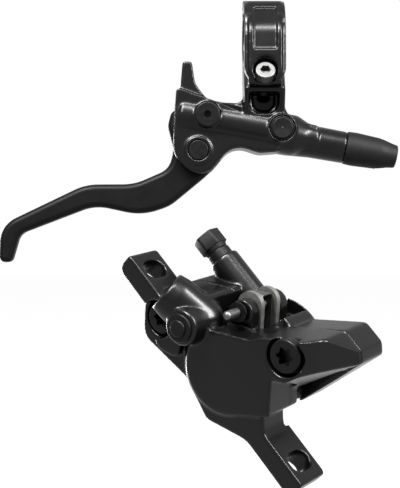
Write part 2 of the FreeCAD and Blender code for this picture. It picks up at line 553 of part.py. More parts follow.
def lever_blade():
    body = start("lever_blade")
    half = "blade_thickness / 2"
    pad(body, "XZ", [blade_outline()], "-" + half, half, ("pivot_x", "pivot_z"))
    soften(body, "blade_rounding", lambda edge: abs(edge.BoundBox.YMax - edge.BoundBox.YMin) < 0.01)
    pad(body, "XZ", [("circle", "pivot_x", "pivot_z", "hub_radius")], "-" + half, half)
    # Fork for the push rod, its pin's hole, and the hub's bore
    pocket(body, "XZ", [[("-8.6", "8.6", 1), ("8", "8.6"), ("8", "24"), ("-8.6", "24")]],
           "-rod_eye_width / 2 - 0.1", "rod_eye_width / 2 + 0.1", ("pivot_x", "pivot_z"))
    pocket(body, "XZ", [("circle", ROD_PIN_X, ROD_PIN_Z, "rod_pin_radius + 0.02")], "-20", "20")
    pocket(body, "XZ", [("circle", "pivot_x", "pivot_z",
                         "pivot_pin_radius + running_fit + bush_wall + 0.02")], "-20", "20")
    return body


def pivot_pieces():
    """The pin, its ring, and the two flanged bushes in the blade's hub."""
    pivot = ("pivot_x", 0, "pivot_z")
    for side, label in ((-1, "pivot_bush_front"), (1, "pivot_bush_back")):
        bush = start(label)
        inner, outer = "pivot_pin_radius + running_fit", "pivot_pin_radius + running_fit + bush_wall"
        flange = "%s - 0.06" % HUB_HALF
        turned(bush, "XY", [("%d * 0.3" % side, inner), ("%d * (%s)" % (side, flange), inner),
                            ("%d * (%s)" % (side, flange), "hub_radius - 2"),
                            ("%d * blade_thickness / 2" % side, "hub_radius - 2"),
                            ("%d * blade_thickness / 2" % side, outer), ("%d * 0.3" % side, outer)],
               pivot, 90)
    pin = start("pivot_pin")
    shank, groove, head = "pivot_pin_radius", "pivot_pin_radius - 0.6", "pivot_head_radius"
    turned(pin, "XY", [("-body_front - 0.5", 0), ("body_back + 1.6", 0), ("body_back + 1.6", shank, 0.4),
                       ("body_back + 0.9", shank), ("body_back + 0.9", groove),
                       ("body_back + 0.2", groove), ("body_back + 0.2", shank), ("-body_front + 1", shank),
                       ("-body_front + 1", head), ("-body_front - 0.5", head, 0.4)], pivot, 90)
    clip = start("pivot_retaining_ring")
    turned(clip, "XY", ring_outline("body_back + 0.25", "body_back + 0.85", "pivot_pin_radius - 0.55",
                                    "pivot_pin_radius + 2.4"), pivot, 90)
    pocket(clip, "XZ", [[("pivot_x - 1.5", "pivot_z"), ("pivot_x + 1.5", "pivot_z"),
                         ("pivot_x + 1.5", "pivot_z - 9"), ("pivot_x - 1.5", "pivot_z - 9")]],
           "body_back", "body_back + 2")
    rod_pin = start("push_rod_pin")
    pad(rod_pin, "XZ", [("circle", ROD_PIN_X, ROD_PIN_Z, "rod_pin_radius")],
        "-blade_thickness / 2 + 0.2", "blade_thickness / 2 - 0.2")


def master_cylinder_pieces():
    """What slides and seals in the master cylinder's bore, from the rod to the spring."""
    rear = "bore_mouth + 2.2"
    front = "bore_mouth + 2.2 + master_piston_length"
    wall = "master_bore_radius - running_fit"
    rod = start("push_rod")
    turned(rod, "XZ", [("-rod_pin_back", 0), (rear + " + piston_skirt - 0.3", 0),
                       (rear + " + piston_skirt - 0.3", "rod_radius", 1.5),
                       ("-rod_pin_back", "rod_radius")], FOOT, "cylinder_tilt")
    pad(rod, "XZ", [("circle", ROD_PIN_X, ROD_PIN_Z, "rod_pin_radius + 1.5")],
        "-rod_eye_width / 2", "rod_eye_width / 2")
    pocket(rod, "XZ", [("circle", ROD_PIN_X, ROD_PIN_Z, "rod_pin_radius + running_fit")], "-9", "9")
    along_cylinder("master_piston", [
        (rear, "master_bore_radius - 1.6"), (rear + " + piston_skirt", "master_bore_radius - 1.6"),
        (rear + " + piston_skirt", 0), (front + " + 3", 0), (front + " + 3", 1.6), (front, 1.6),
        (front, wall), (front + " - 2.5", wall), (front + " - 2.5", "master_bore_radius - 1.4"),
        (rear + " + 11.2", "master_bore_radius - 1.4"), (rear + " + 11.2", wall), (rear + " + 8.8", wall),
        (rear + " + 8.8", "master_bore_radius - 1.6"), (rear + " + 6.4", "master_bore_radius - 1.6"),
        (rear + " + 6.4", wall), (rear, wall)])
    along_cylinder("secondary_cup", [
        (rear + " + 6.5", "master_bore_radius - 1.55"), (rear + " + 8.7", "master_bore_radius - 1.55"),
        (rear + " + 8.7", "master_bore_radius - 0.5"), (rear + " + 7.7", "master_bore_radius - 0.9"),
        (rear + " + 8.7", "master_bore_radius - 0.02"), (rear + " + 6.5", "master_bore_radius - 0.1")])
    along_cylinder("primary_cup", [
        (front + " + 0.05", 1.65), (front + " + 1.6", 1.65), (front + " + 1.6", "2.6"),
        (front + " + 1.2", "master_bore_radius - 1.2"), (front + " + 2.6", "master_bore_radius - 0.6"),
        (front + " + 2.6", "master_bore_radius - 0.02"), (front + " + 0.05", "master_bore_radius - 0.1")])
    along_cylinder("piston_retaining_ring", ring_outline(
        "bore_mouth + 0.85", "bore_mouth + 1.7", "master_bore_radius - 1.2", "master_bore_radius + 0.55"))
    return_spring("master_spring", front + " + 2.7", "bore_bottom - 0.1")


def return_spring(label, begin, end):
    """A coil of round wire between two places on the cylinder's axis."""
    body = start(label)
    wire, coil, turns = 0.45, number("master_bore_radius") - 1.2, 5
    sketch = draw(body, "XZ", [("circle", begin + " + %s" % wire, coil, wire)], FOOT, "cylinder_tilt")
    spring = body.newObject("PartDesign::AdditiveHelix", label + "_helix")
    spring.Profile = sketch
    spring.ReferenceAxis = (sketch, ["H_Axis"])
    spring.Mode = "height-turns-growth"
    bind(spring, "Height", "%s - (%s) - %s" % (end, begin, 2 * wire))
    spring.Turns = turns
    spring.Growth = 0
    body.Tip = spring


def reservoir_pieces():
    """The bleed screw with its ring, and the plug with the diaphragm under it."""
    bleed = ("%s + bleed_place * cos(cylinder_tilt) - panel_rise * sin(cylinder_tilt)" % FOOT_X, 0,
             "%s + bleed_place * sin(cylinder_tilt) + panel_rise * cos(cylinder_tilt)" % FOOT_Z)
    plug = ("%s + port_place * cos(cylinder_tilt) - panel_rise * sin(cylinder_tilt)" % FOOT_X, 0,
            "%s + port_place * sin(cylinder_tilt) + panel_rise * cos(cylinder_tilt)" % FOOT_Z)
    seat = "-panel_front - boss_height"
    screw = start("bleed_screw")
    turned(screw, "XY", [(seat + " - screw_height", 1.5), (seat + " + 1", 1.5), (seat + " + 1", 0),
                         (seat + " + 4.6", 0), (seat + " + 4.6", 2.95, 0.5), (seat + " + 0.4", 2.95),
                         (seat + " + 0.4", 2.4), (seat, 2.4), (seat, "bleed_screw_radius - 0.3"),
                         (seat + " - screw_height", "bleed_screw_radius - 0.3", 0.5)], bleed, 90)
    ring = start("bleed_screw_o_ring")
    turned(ring, "XY", ring_outline(seat + " + 0.02", seat + " + 0.38", 2.42, 2.98), bleed, 90)
    cap = start("reservoir_plug")
    turned(cap, "XY", [(seat + " + 0.1", 0), ("-panel_front + 2.3", 0),
                       ("-panel_front + 2.3", "chamber_radius - 0.1"),
                       ("-panel_front + 1.45", "chamber_radius - 0.1"), ("-panel_front + 1.45", "plug_radius"),
                       (seat + " + 0.5", "plug_radius", 0.3), (seat + " + 0.5", "plug_radius - 0.6"),
                       (seat + " - 0.4", "plug_radius - 0.8", 0.5)], plug, 90)
    diaphragm = start("reservoir_diaphragm")
    turned(diaphragm, "XY", [("-panel_front + 3.2", 0), ("-panel_front + 3.9", 0),
                             ("-panel_front + 3.9", "chamber_radius - 1.2"),
                             ("-panel_front + 3.0", "chamber_radius - 0.1"),
                             ("-panel_front + 2.35", "chamber_radius - 0.1"),
                             ("-panel_front + 2.35", "chamber_radius - 1.2"),
                             ("-panel_front + 3.2", "chamber_radius - 1.7")], plug, 90)


def hose_end():
    """The hollow nut that holds the hose, and the rubber cover over it."""
    bore = "hose_radius + running_fit"
    nut = along_cylinder("compression_nut", [
        ("bore_bottom + 5", bore), ("barrel_length + 4.6", bore), ("barrel_length + 4.6", "4.4", 0.4),
        ("barrel_length + 0.1", "4.4"), ("barrel_length + 0.1", "nut_radius"),
        ("bore_bottom + 5", "nut_radius", 0.4)])
    along_cylinder("hose_cover", [
        ("barrel_length + 0.1", "4.6"), ("barrel_length + 4.8", "4.6"), ("barrel_length + 4.8", bore),
        ("barrel_length + cover_length", bore), ("barrel_length + cover_length", "cover_radius - 2.4", 0.8),
        ("barrel_length + cover_length - 4.4", "cover_radius - 1.2", 3),
        ("barrel_length + cover_length - 7", "cover_radius - 0.6", 3),
        ("barrel_length + 4", "cover_radius", 6), ("barrel_length + 0.1", "cover_radius - 0.2", 0.6)])
    cover = bodies[-1]
    for sign in ("", "-"):
        outline = [("barrel_length + cover_length - 9", sign + "(cover_radius + 2)"),
                   ("barrel_length + cover_length - 8", sign + "(cover_radius - 1.4)", 2.5),
                   ("barrel_length + cover_length + 1", sign + "(cover_radius - 2.6)"),
                   ("barrel_length + cover_length + 1", sign + "(cover_radius + 2)")]
        pocket(cover, "XZ", [outline], "-2.3", "2.3", (FOOT_X, FOOT_Z), "cylinder_tilt")


def lug(width, top):
    """An upright lug about the pad axle, as wide as two of these widths and rounded on top."""
    return [("piston_place - %s" % width, "6"), ("piston_place + %s" % width, "6"),
            ("piston_place + %s" % width, "axle_rise + %s" % top, "0.97 * %s" % width),
            ("piston_place - %s" % width, "axle_rise + %s" % top, "0.97 * %s" % width)]


PISTON = ("piston_place * cos(pad_tilt)", 0, "piston_place * sin(pad_tilt)")
PORT = ("hose_port_x", "hose_port_y", "port_rise")
BLEED = ("bleed_boss_mouth", "bleed_boss_y", "bleed_boss_rise")
WINDOW = [("piston_place - 9.4", "11.5", 2), ("piston_place + 8.6", "11.5"), ("piston_place + 8.6", "40"),
          ("piston_place - 9.4", "40")]


def caliper_half(label, side):
    """The common form of both halves: side is -1 outboard and 1 inboard."""
    body = start(label)

    def deep(depth):
        return "%d * (%s)" % (side, depth)

    def slab(kind, plane, loops, near, far):
        first, last = (deep(far), deep(near)) if side < 0 else (deep(near), deep(far))
        return kind(body, plane, loops, first, last)

    turned(body, "XY", [(deep("0.4"), 0), (deep("half_depth"), 0),
                        (deep("half_depth"), "body_radius - 3.6", 1.6),
                        (deep("half_depth - 3.8"), "body_radius", 2.4), (deep("0.4"), "body_radius")],
           PISTON, 90)
    # Bridge over the rotor's edge with the two body bolts' lobes, open at the pads' window
    slab(pad, "TR", [[("near_bolt_place - 7.4", "near_bolt_rise - 7.2", 5.5),
                      ("near_bolt_place - 7.4", "near_bolt_rise + 5.6", 6), ("-19", "20.5", 4),
                      ("piston_place - 9.4", "20", 1.2), ("piston_place - 9.4", "11.5", 2),
                      ("piston_place + 7.2", "11.5", 3), ("nose_reach - 6.4", "15.2", 2),
                      ("nose_reach - 0.7", "10.4", 1.5), ("nose_reach", "6.6", 1.5),
                      ("20.6", "-10.6", 3), ("8", "-15", 4), ("-9", "-9", 8)]], "0", "half_depth - 4.5")
    return body, deep, slab


def hollow_half(body, deep, slab):
    """The cuts both halves share: rotor, pads, piston, bolts, axle and fluid passage."""
    slab(pocket, "TR", [("circle", "piston_place", "rotor_reach - rotor_radius", "rotor_radius + 1.4")],
         "-0.1", "1.6")
    slab(pocket, "TR", [[("piston_place - pad_width / 2 - 0.4", "-30"),
                         ("piston_place + pad_width / 2 + 0.4", "-30"),
                         ("piston_place + pad_width / 2 + 0.4", "pad_top + 0.3", 1.5),
                         ("piston_place - pad_width / 2 - 0.4", "pad_top + 0.3", 1.5)]],
         "-0.1", "rotor_room + lining_thickness + plate_thickness + 0.1")
    slab(pocket, "TR", [[("piston_place - pad_tab_radius - 0.4", "0"),
                         ("piston_place + pad_tab_radius + 0.4", "0"),
                         ("piston_place + pad_tab_radius + 0.4", "30"),
                         ("piston_place - pad_tab_radius - 0.4", "30")]],
         "-0.1", "rotor_room + lining_thickness + plate_thickness + 0.1")
    seal = "rotor_room + lining_thickness + plate_thickness + 3.4"
    bored(body, "XY", [(deep("1"), 0), (deep("half_depth - 2.8"), 0),
                       (deep("half_depth - 2.8"), "caliper_piston_radius + running_fit"),
                       (deep(seal + " + 2.2"), "caliper_piston_radius + running_fit"),
                       (deep(seal + " + 2.2"), "caliper_piston_radius + 1.6"),
                       (deep(seal), "caliper_piston_radius + 1.6"),
                       (deep(seal), "caliper_piston_radius + running_fit"),
                       (deep("1"), "caliper_piston_radius + running_fit")], PISTON, 90)


def outer_half():
    """The outboard half: it carries the mounting tabs, the hose port and the bolts' heads."""
    body, deep, slab = caliper_half("outer_half", -1)
    # Nose, thinner towards its tip and cut back under the far bolt
    slab(pad, "TR", [[("8", "11.9"), ("nose_reach - 6.4", "15.2", 2), ("nose_reach - 0.7", "10.4", 1.5),
                      ("nose_reach", "6.6", 1.5), ("20.6", "-10.6", 3), ("8", "-13")]], "0", "half_depth")
    across(body, "TY", [[("nose_reach - 10.1", "-half_depth - 5"), ("nose_reach - 10.1", "-half_depth"),
                         ("nose_reach - 7", "-half_depth + 4.6"), ("nose_reach - 0.6", "-1"),
                         ("nose_reach + 9", "-1"), ("nose_reach + 9", "-half_depth - 5")]])
    across(body, "YR", [[("-half_depth - 5", "1.4"), ("-half_depth", "1.4", 1), ("-6", "-2.4", 1),
                         ("-4.6", "-40"), ("-half_depth - 5", "-40")]], "nose_reach - bolt_to_nose - 4")
    # Window over the pads' tabs
    slab(pocket, "TR", [WINDOW], "-0.1", "half_depth + 1")
    # Hose port, running inboard to a rounded end, and the boss of the passage plug on it
    turned(body, "XY", [(0, 0), (21.5, 0), (21.5, "port_radius", "0.96 * port_radius"),
                        (4, "port_radius", 8), (0, "port_radius - 0.7", 0.6)], PORT, "port_tilt")
    turned(body, "XY", [("-half_depth - 5.6", 0), ("-half_depth + 6", 0), ("-half_depth + 6", 7.4),
                        ("-half_depth - 1", 6, 2), ("-half_depth - 5.6", 5.6, 0.9)], PLUG, 90)
    # Mounting tabs, with the arm that joins the lower one to the round body
    tab = ("-post_offset - tab_width / 2", "-post_offset + tab_width / 2")
    hole = "post_spacing / 2"
    pad(body, "XZ", [[("2", "4"), ("14", "11"), (hole + " - 11.6", "0", 4), (hole + " + tab_end", "0", 0.8),
                      (hole + " + tab_end", "-tab_thickness", 2.6), (hole + " - 14", "-tab_thickness", 9),
                      ("10", "-14", 4), ("2", "-12")]], *tab)
    pad(body, "XZ", [[("-%s - tab_end" % hole, "0", 0.8), ("-16", "0"), ("-9", "-9", 3), ("-17", "-13", 4),
                      ("-%s + 8" % hole, "-tab_thickness", 6),
                      ("-%s - tab_end" % hole, "-tab_thickness", 2.6)]], *tab)
    slab(pad, "TR", [lug("3.8", "3.4")], "rotor_room + lining_thickness + plate_thickness + 0.1", "9.6")
    hollow_half(body, deep, slab)
    # Clearance holes for the body bolts, and the pad axle's hole
    room, hole = "body_bolt_head_radius + 1", "body_bolt_radius + 0.15"
    for place, rise, seat in BODY_BOLTS:
        bored(body, "XY", [("1", 0), ("-half_depth - 9", 0), ("-half_depth - 9", room), (seat, room),
                           (seat, hole), ("1", hole)], in_pads_frame(place, rise), 90)
    slab(pocket, "TR", [("circle", "piston_place", "axle_rise", "axle_radius + running_fit")], "0", "30")
    # Hose port's bore, the cross drilling that the plug closes, and its branch to the piston
    bored(body, "XY", [(-5, 0), (15.5, 0), (15.5, 1.2), (10, 1.2), (10, 3.9), (-5, 3.9)], PORT, "port_tilt")
    bored(body, "XY", [("-half_depth - 9", 0), ("1", 0), ("1", 1.1), ("-half_depth - 0.5", 1.1),
                       ("-half_depth - 0.5", 3.1), ("-half_depth - 9", 3.1)], PLUG, 90)
    bored(body, "XY", bar_outline(0, 9, 0.55), (PLUG[0], "-half_depth + 3.2", PLUG[2]))
    slab(pocket, "XZ", [("circle", PLUG[0], PLUG[2], 2.6)], "-0.1", "0.9")
    # Slots for the mounting bolts
    for sign in ("-", ""):
        reach = "post_slot_length / 2 - post_slot_width / 2"
        pocket(body, "XY", [("slot", "-(%s)" % reach, reach, 0, "post_slot_width / 2")], "-30", "9",
               ("%spost_spacing / 2" % sign, "-post_offset"), 90)
    return body


def across(body, plane, loops, begin=None):
    """A cut from side to side of the pads' frame, or from one place onwards."""
    sketch = draw(body, plane, loops, (begin or 0, 0, 0) if plane == "YR" else (0, 0, 0))
    feature = body.newObject("PartDesign::Pocket", body.Label + "_pocket")
    feature.Profile = sketch
    bind(feature, "Length", "2 * nose_reach")
    feature.Midplane = begin is None
    feature.Reversed = begin is not None
    body.Tip = feature


def in_pads_frame(place, rise):
    """A place along and above the pads' width, in the caliper's own axes."""
    return ("(%s) * cos(pad_tilt) - %s * sin(pad_tilt)" % (place, rise), 0,
            "(%s) * sin(pad_tilt) + %s * cos(pad_tilt)" % (place, rise))


PLUG = ("-13.6", 0, "port_rise")
BODY_BOLTS = (("near_bolt_place", "near_bolt_rise", "-half_depth + 7.4"),
              ("nose_reach - bolt_to_nose", "far_bolt_rise", "-half_depth + 3.6"))


def inner_half():
    """The inboard half: the body bolts screw into it, and it carries the bleed boss."""
    body, deep, slab = caliper_half("inner_half", 1)
    slab(pocket, "TR", [WINDOW], "-0.1", "half_depth - 4")
    turned(body, "XY", [(0, 0), (20, 0), (20, "bleed_boss_radius", 3), (0, "bleed_boss_radius", 0.6)],
           BLEED)
    slab(pad, "TR", [lug("4.6", "3.6")], "rotor_room + lining_thickness + plate_thickness + 0.1", "9.6")
    hollow_half(body, deep, slab)
    for place, rise, seat in BODY_BOLTS:
        bored(body, "XY", bar_outline("-1", "10.4", "body_bolt_radius"), in_pads_frame(place, rise), 90)
    slab(pocket, "TR", [("circle", "piston_place", "axle_rise", "axle_radius + 0.02")], "0", "30")
    # Fluid passage from the other half, its branch to the piston, and the bleed drilling
    bored(body, "XY", bar_outline("-1", "half_depth - 2.9", 1.1), PLUG, 90)
    bored(body, "XY", bar_outline(0, 9, 0.55), (PLUG[0], "half_depth - 3.2", PLUG[2]))
    bored(body, "XY", [(-1, 0), (19, 0), (19, 1), (8.5, 1), (8.5, 2.9), (-1, 2.9)], BLEED)
    return body


def caliper_fasteners():
    for label, (place, rise, seat) in zip(("body_bolt_near", "body_bolt_far"), BODY_BOLTS):
        bolt = start(label)
        shank, head = "body_bolt_radius - running_fit", "body_bolt_head_radius"
        turned(bolt, "XY", [(seat + " - 3.4", 0), ("9.6", 0), ("9.6", shank, 0.5), (seat, shank),
                            (seat, head), (seat + " - 3.4", head, 0.6)], in_pads_frame(place, rise), 90)
        pocket(bolt, "TR", [star(place, rise, 2.9)], seat + " - 4", seat + " - 0.8")
    seal = start("passage_o_ring")
    turned(seal, "XY", [("-0.86", 1.5, 0.3), ("-0.04", 1.5, 0.3), ("-0.04", 2.5, 0.3), ("-0.86", 2.5, 0.3)],
           PLUG, 90)
    plug = start("passage_plug")
    turned(plug, "XY", [("-half_depth - 7.3", 0), ("-half_depth - 0.6", 0), ("-half_depth - 0.6", 3.05),
                        ("-half_depth - 5.65", 3.05), ("-half_depth - 5.65", 4.4),
                        ("-half_depth - 6.5", 4.4, 0.4), ("-half_depth - 6.5", 2.7),
                        ("-half_depth - 7.3", 2.7, 0.6)], PLUG, 90)
    axle = start("pad_axle")
    axis = in_pads_frame("piston_place", "axle_rise")
    turned(axle, "XY", [("-half_depth", 0), ("9.2", 0), ("9.2", "axle_radius"), ("-11.2", "axle_radius"),
                        ("-11.2", "axle_radius - 0.4"), ("-11.9", "axle_radius - 0.4"),
                        ("-11.9", "axle_radius"), ("-half_depth", "axle_radius", 1.2)], axis, 90)
    clip = start("pad_axle_clip")
    turned(clip, "XY", ring_outline("-11.85", "-11.25", "axle_radius - 0.35", "axle_radius + 1.7"),
           axis, 90)
    nipple = start("bleed_nipple")
    turned(nipple, "XY", [(-7.6, 0.6), (8, 0.6), (8, 2.85, 0.5), (-0.1, 2.85), (-0.1, 3.9), (-3, 3.9, 0.5),
                          (-3, 2.0), (-5.6, 1.7), (-6.4, 2.2), (-7.6, 1.7)], BLEED)
    cap = start("bleed_cap")
    turned(cap, "XY", [(-9.4, 0), (-8, 0), (-8, 2.35), (-3.1, 2.35), (-3.1, 3.6), (-4.4, 4.0, 0.4),
                       (-8.2, 4.0, 0.8), (-9.4, 3.0, 0.5)], BLEED)
    sides = hexagon("8.4", "bleed_boss_y", "bleed_boss_rise", 1.2)
    pad(cap, "YZ", [sides], "bleed_boss_mouth - 9.6", "bleed_boss_mouth - 8.1")
    pad(cap, "YZ", [sides, ("circle", "bleed_boss_y", "bleed_boss_rise", "2.35")],
        "bleed_boss_mouth - 8.2", "bleed_boss_mouth - 4.6")


def pistons_and_pads():
    """On each side: the seal in its groove, the piston, the pad's plate and its lining."""
    lining = "rotor_room + lining_thickness"
    plate = lining + " + plate_thickness"
    for side, word in ((-1, "outer"), (1, "inner")):
        def deep(depth):
            return "%d * (%s)" % (side, depth)

        seal = start(word + "_piston_seal")
        turned(seal, "XY", ring_outline(deep(plate + " + 3.45"), deep(plate + " + 5.55"),
                                        "caliper_piston_radius + 0.02", "caliper_piston_radius + 1.55"),
               PISTON, 90)
        piston = start(word + "_piston")
        back, floor = plate + " + piston_depth", plate + " + piston_depth - 2.4"
        outside, inside = "caliper_piston_radius", "caliper_piston_radius - 2.6"
        turned(piston, "XY", [(deep(floor), 0), (deep(back), 0), (deep(back), outside, 0.5),
                              (deep(plate), outside), (deep(plate), inside), (deep(floor), inside, 1)],
               PISTON, 90)
        left, right = "piston_place - pad_width / 2", "piston_place + pad_width / 2"
        backing = start(word + "_pad_plate")
        near, far = (plate, lining) if side < 0 else (lining, plate)
        pad(backing, "TR", [[(left, "-pad_bottom", 2), (right, "-pad_bottom", 2), (right, "pad_top", 2),
                             ("piston_place + pad_tab_radius", "pad_top", 1.2),
                             ("piston_place + pad_tab_radius", "pad_tab_top", "0.95 * pad_tab_radius"),
                             ("piston_place - pad_tab_radius", "pad_tab_top", "0.95 * pad_tab_radius"),
                             ("piston_place - pad_tab_radius", "pad_top", 1.2), (left, "pad_top", 2)]],
            deep(near), deep(far))
        pocket(backing, "TR", [("circle", "piston_place", "axle_rise", "axle_radius + 0.15")], "-9", "9")
        friction = start(word + "_pad_lining")
        near, far = (lining, "rotor_room") if side < 0 else ("rotor_room", lining)
        left, right = left + " + 0.8", right + " - 0.8"
        bottom, top = "-pad_bottom + 0.8", "rotor_reach - 0.4"
        pad(friction, "TR", [[(left, bottom, 3), (right, bottom, 3), (right, top, 3), (left, top, 3)]],
            deep(near), deep(far))
        left, right = "piston_place - 0.6", "piston_place + 0.6"
        near, far = ("rotor_room + 1.2", "rotor_room - 1") if side < 0 else ("rotor_room - 1", "rotor_room + 1.2")
        pocket(friction, "TR", [[(left, "-pad_bottom"), (right, "-pad_bottom"), (right, "pad_top"),
                                 (left, "pad_top")]], deep(near), deep(far))


def pad_spring():
    """The folded strip of spring steel that holds the two pads apart, round the axle."""
    body = start("pad_spring")
    leg = "rotor_room + lining_thickness - 0.37"
    foot, top, strip = "pad_top - 0.6", "pad_tab_top - 1", "0.35"
    sketch = draw(body, "YR", [[("-(%s)" % leg, foot), ("-(%s) + %s" % (leg, strip), foot),
                                ("-(%s) + %s" % (leg, strip), "%s - %s" % (top, strip), 1.2),
                                ("%s - %s" % (leg, strip), "%s - %s" % (top, strip), 1.2),
                                ("%s - %s" % (leg, strip), foot), (leg, foot), (leg, top, 1.5),
                                ("-(%s)" % leg, top, 1.5)]], ("piston_place", 0, 0))
    feature = body.newObject("PartDesign::Pad", "pad_spring_strip")
    feature.Profile = sketch
    bind(feature, "Length", "1.3 * pad_tab_radius")
    feature.Midplane = True
    body.Tip = feature
    pocket(body, "TR", [("circle", "piston_place", "axle_rise", "axle_radius + 0.3")], "-9", "9")


for make in (lever_body, clamp_band, clamp_fasteners, lever_blade, pivot_pieces, master_cylinder_pieces,
             reservoir_pieces, hose_end):
    make()
lever_pieces = len(bodies)
for make in (outer_half, inner_half, caliper_fasteners, pistons_and_pads, pad_spring):
    make()
stand = FreeCAD.Placement(
    FreeCAD.Vector(number("caliper_x"), number("caliper_y"), number("caliper_z")),
    FreeCAD.Rotation(number("caliper_yaw"), number("caliper_pitch"), number("caliper_roll")))
for body in bodies[lever_pieces:]:
    body.Placement = stand

doc.recompute()
failed = [thing.Name for thing in doc.Objects if "Invalid" in thing.State or "Error" in thing.State]
if failed:
    raise RuntimeError("These objects failed: " + ", ".join(failed))
for body in bodies:
    if body.Shape.isNull() or not body.Shape.isValid():
        raise RuntimeError(body.Label + " has no valid shape")

os.makedirs("parts", exist_ok=True)
for body in bodies:
    body.Shape.exportStep("parts/%s.step" % body.Label)
    print(body.Label, len(body.Shape.Solids), round(body.Shape.Volume, 1))
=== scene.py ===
"""The looks of a bicycle's hydraulic disc brake: a lever for the handlebar and a caliper for the frame.

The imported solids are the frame. The castings are dressed as copies with an even skin and soft edges, the
rubber cover and cap as copies with small rounded edges, and the cap gets its strap. All other parts keep
their solids. Every part gets a finish built from nodes. The stage is a pale room with four soft lights.
"""

import math

import bpy
from bpy.props import FloatProperty, FloatVectorProperty, IntProperty, PointerProperty
from bpy.types import Operator, Panel, PropertyGroup
from mathutils import Euler, Matrix, Vector


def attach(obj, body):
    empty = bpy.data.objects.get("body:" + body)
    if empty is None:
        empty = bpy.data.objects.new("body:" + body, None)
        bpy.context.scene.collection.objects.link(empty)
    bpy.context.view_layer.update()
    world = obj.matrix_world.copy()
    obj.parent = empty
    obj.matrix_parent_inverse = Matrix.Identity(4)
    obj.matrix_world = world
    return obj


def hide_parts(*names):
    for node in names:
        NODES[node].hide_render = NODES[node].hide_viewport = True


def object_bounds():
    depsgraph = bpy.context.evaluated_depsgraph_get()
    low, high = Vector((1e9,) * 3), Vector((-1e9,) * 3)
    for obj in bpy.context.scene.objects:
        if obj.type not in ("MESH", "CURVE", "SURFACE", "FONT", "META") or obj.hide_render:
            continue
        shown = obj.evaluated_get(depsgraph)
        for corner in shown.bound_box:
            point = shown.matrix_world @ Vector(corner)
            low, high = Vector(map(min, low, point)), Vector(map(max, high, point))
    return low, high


bl_info = {
    "name": "Hydraulic disc brake",
    "version": (1, 0, 0),
    "blender": (4, 5, 0),
    "location": "3D View > Sidebar > Disc brake",
    "description": "Dresses the packed solids of a bicycle's hydraulic disc brake",
    "category": "Object",
}

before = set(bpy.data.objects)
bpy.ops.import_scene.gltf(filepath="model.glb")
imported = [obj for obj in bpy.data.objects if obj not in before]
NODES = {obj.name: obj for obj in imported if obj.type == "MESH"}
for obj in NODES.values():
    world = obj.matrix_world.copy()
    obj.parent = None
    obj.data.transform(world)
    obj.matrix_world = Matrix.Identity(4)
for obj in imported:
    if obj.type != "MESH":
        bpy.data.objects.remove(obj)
SOLID_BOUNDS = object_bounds()
FIXED_BODY = "fixed_parts"
MM = 0.001

# The camera: the photograph's height and its focal length in pixels, the place and the longer side of the
# sensor in mm, and the nearest and farthest that it sees in metres
PHOTO_HEIGHT = 488
FOCAL_PIXELS = 1163
CAMERA_PLACE = Vector((-27.2, -500.0, -89.4))
SENSOR_SIDE = 36.0
NEAREST_SEEN = 0.01
FARTHEST_SEEN = 50

# The caliper's own axes in the frame: X along its mounting holes, Y inboard, Z along the mounting bolts
CALIPER_PLACE = Vector((-13.5, -137.6, -123.7))
CALIPER_TURNS = (13.0, 49.1, -26.9)
CALIPER_AXES = (Matrix.Translation(CALIPER_PLACE * MM)
                @ Euler([math.radians(turn) for turn in CALIPER_TURNS], "XYZ").to_matrix().to_4x4())

# The pads' axes, turned from the caliper's: X along the pads' width, Y inboard, Z away from the pistons
PAD_TILT = 40.0
PAD_AXES = CALIPER_AXES @ Matrix.Rotation(-math.radians(PAD_TILT), 4, "Y")

# Where the outer casting's nose is cut away below, in mm in the pads' axes: the cut starts beside the arm,
# and its plane goes through one point of the underside
NOSE_CUT_START = 21.5
NOSE_CUT_POINT = Vector((31.8, -1.0, 1.1))
NOSE_CUT_NORMAL = Vector((-0.61, 0.228, 1.0)).normalized()
# The lower tab stays whole, so in the caliper's axes the cut ends this much above the tab's top
NOSE_CUT_FLOOR = 5.0
# The step between the window's floor and the nose's top becomes a ramp, from one edge of the window on
RAMP_START = 12.95
RAMP_POINT = Vector((13.0, 0.0, 11.45))
RAMP_NORMAL = Vector((0.39, 0.0, -1.0)).normalized()
CUTTER_SIZE = 60.0

# The rubber cap's strap: the middle of its loop in mm in the caliper's axes, and the steps round the loop
STRAP_PLACE = Vector((-33.6, 5.4, 9.6))
STRAP_STEPS = 14

# Which dressed casting stands for which solid, and how fine the grid of its skin is in mm
CASTINGS = {
    "lever_casting": ("lever_body", 0.42),
    "clamp_band_casting": ("clamp_band", 0.34),
    "caliper_outer_casting": ("outer_half", 0.38),
    "caliper_inner_casting": ("inner_half", 0.38),
}
# How far one round of softening moves a casting's points toward the middle of their neighbours
SOFTENING = 0.5

# Which dressed moulding stands for which solid
MOULDINGS = {"hose_boot": "hose_cover", "nipple_cap": "bleed_cap"}

# Edges that bend more than these angles, in degrees, are rounded in a few steps. The strap is this many
# times as thick as its rounding is wide. What then bends less than the smooth angle is shaded smooth.
MOULDING_EDGE_ANGLE = 38
STRAP_EDGE_ANGLE = 30
ROUNDING_STEPS = 2
STRAP_TO_ROUNDING = 3
SMOOTH_ANGLE = 36
# Points closer together than this, in mm, become one
SOLID_WELD = 0.002
STRAP_WELD = 0.001

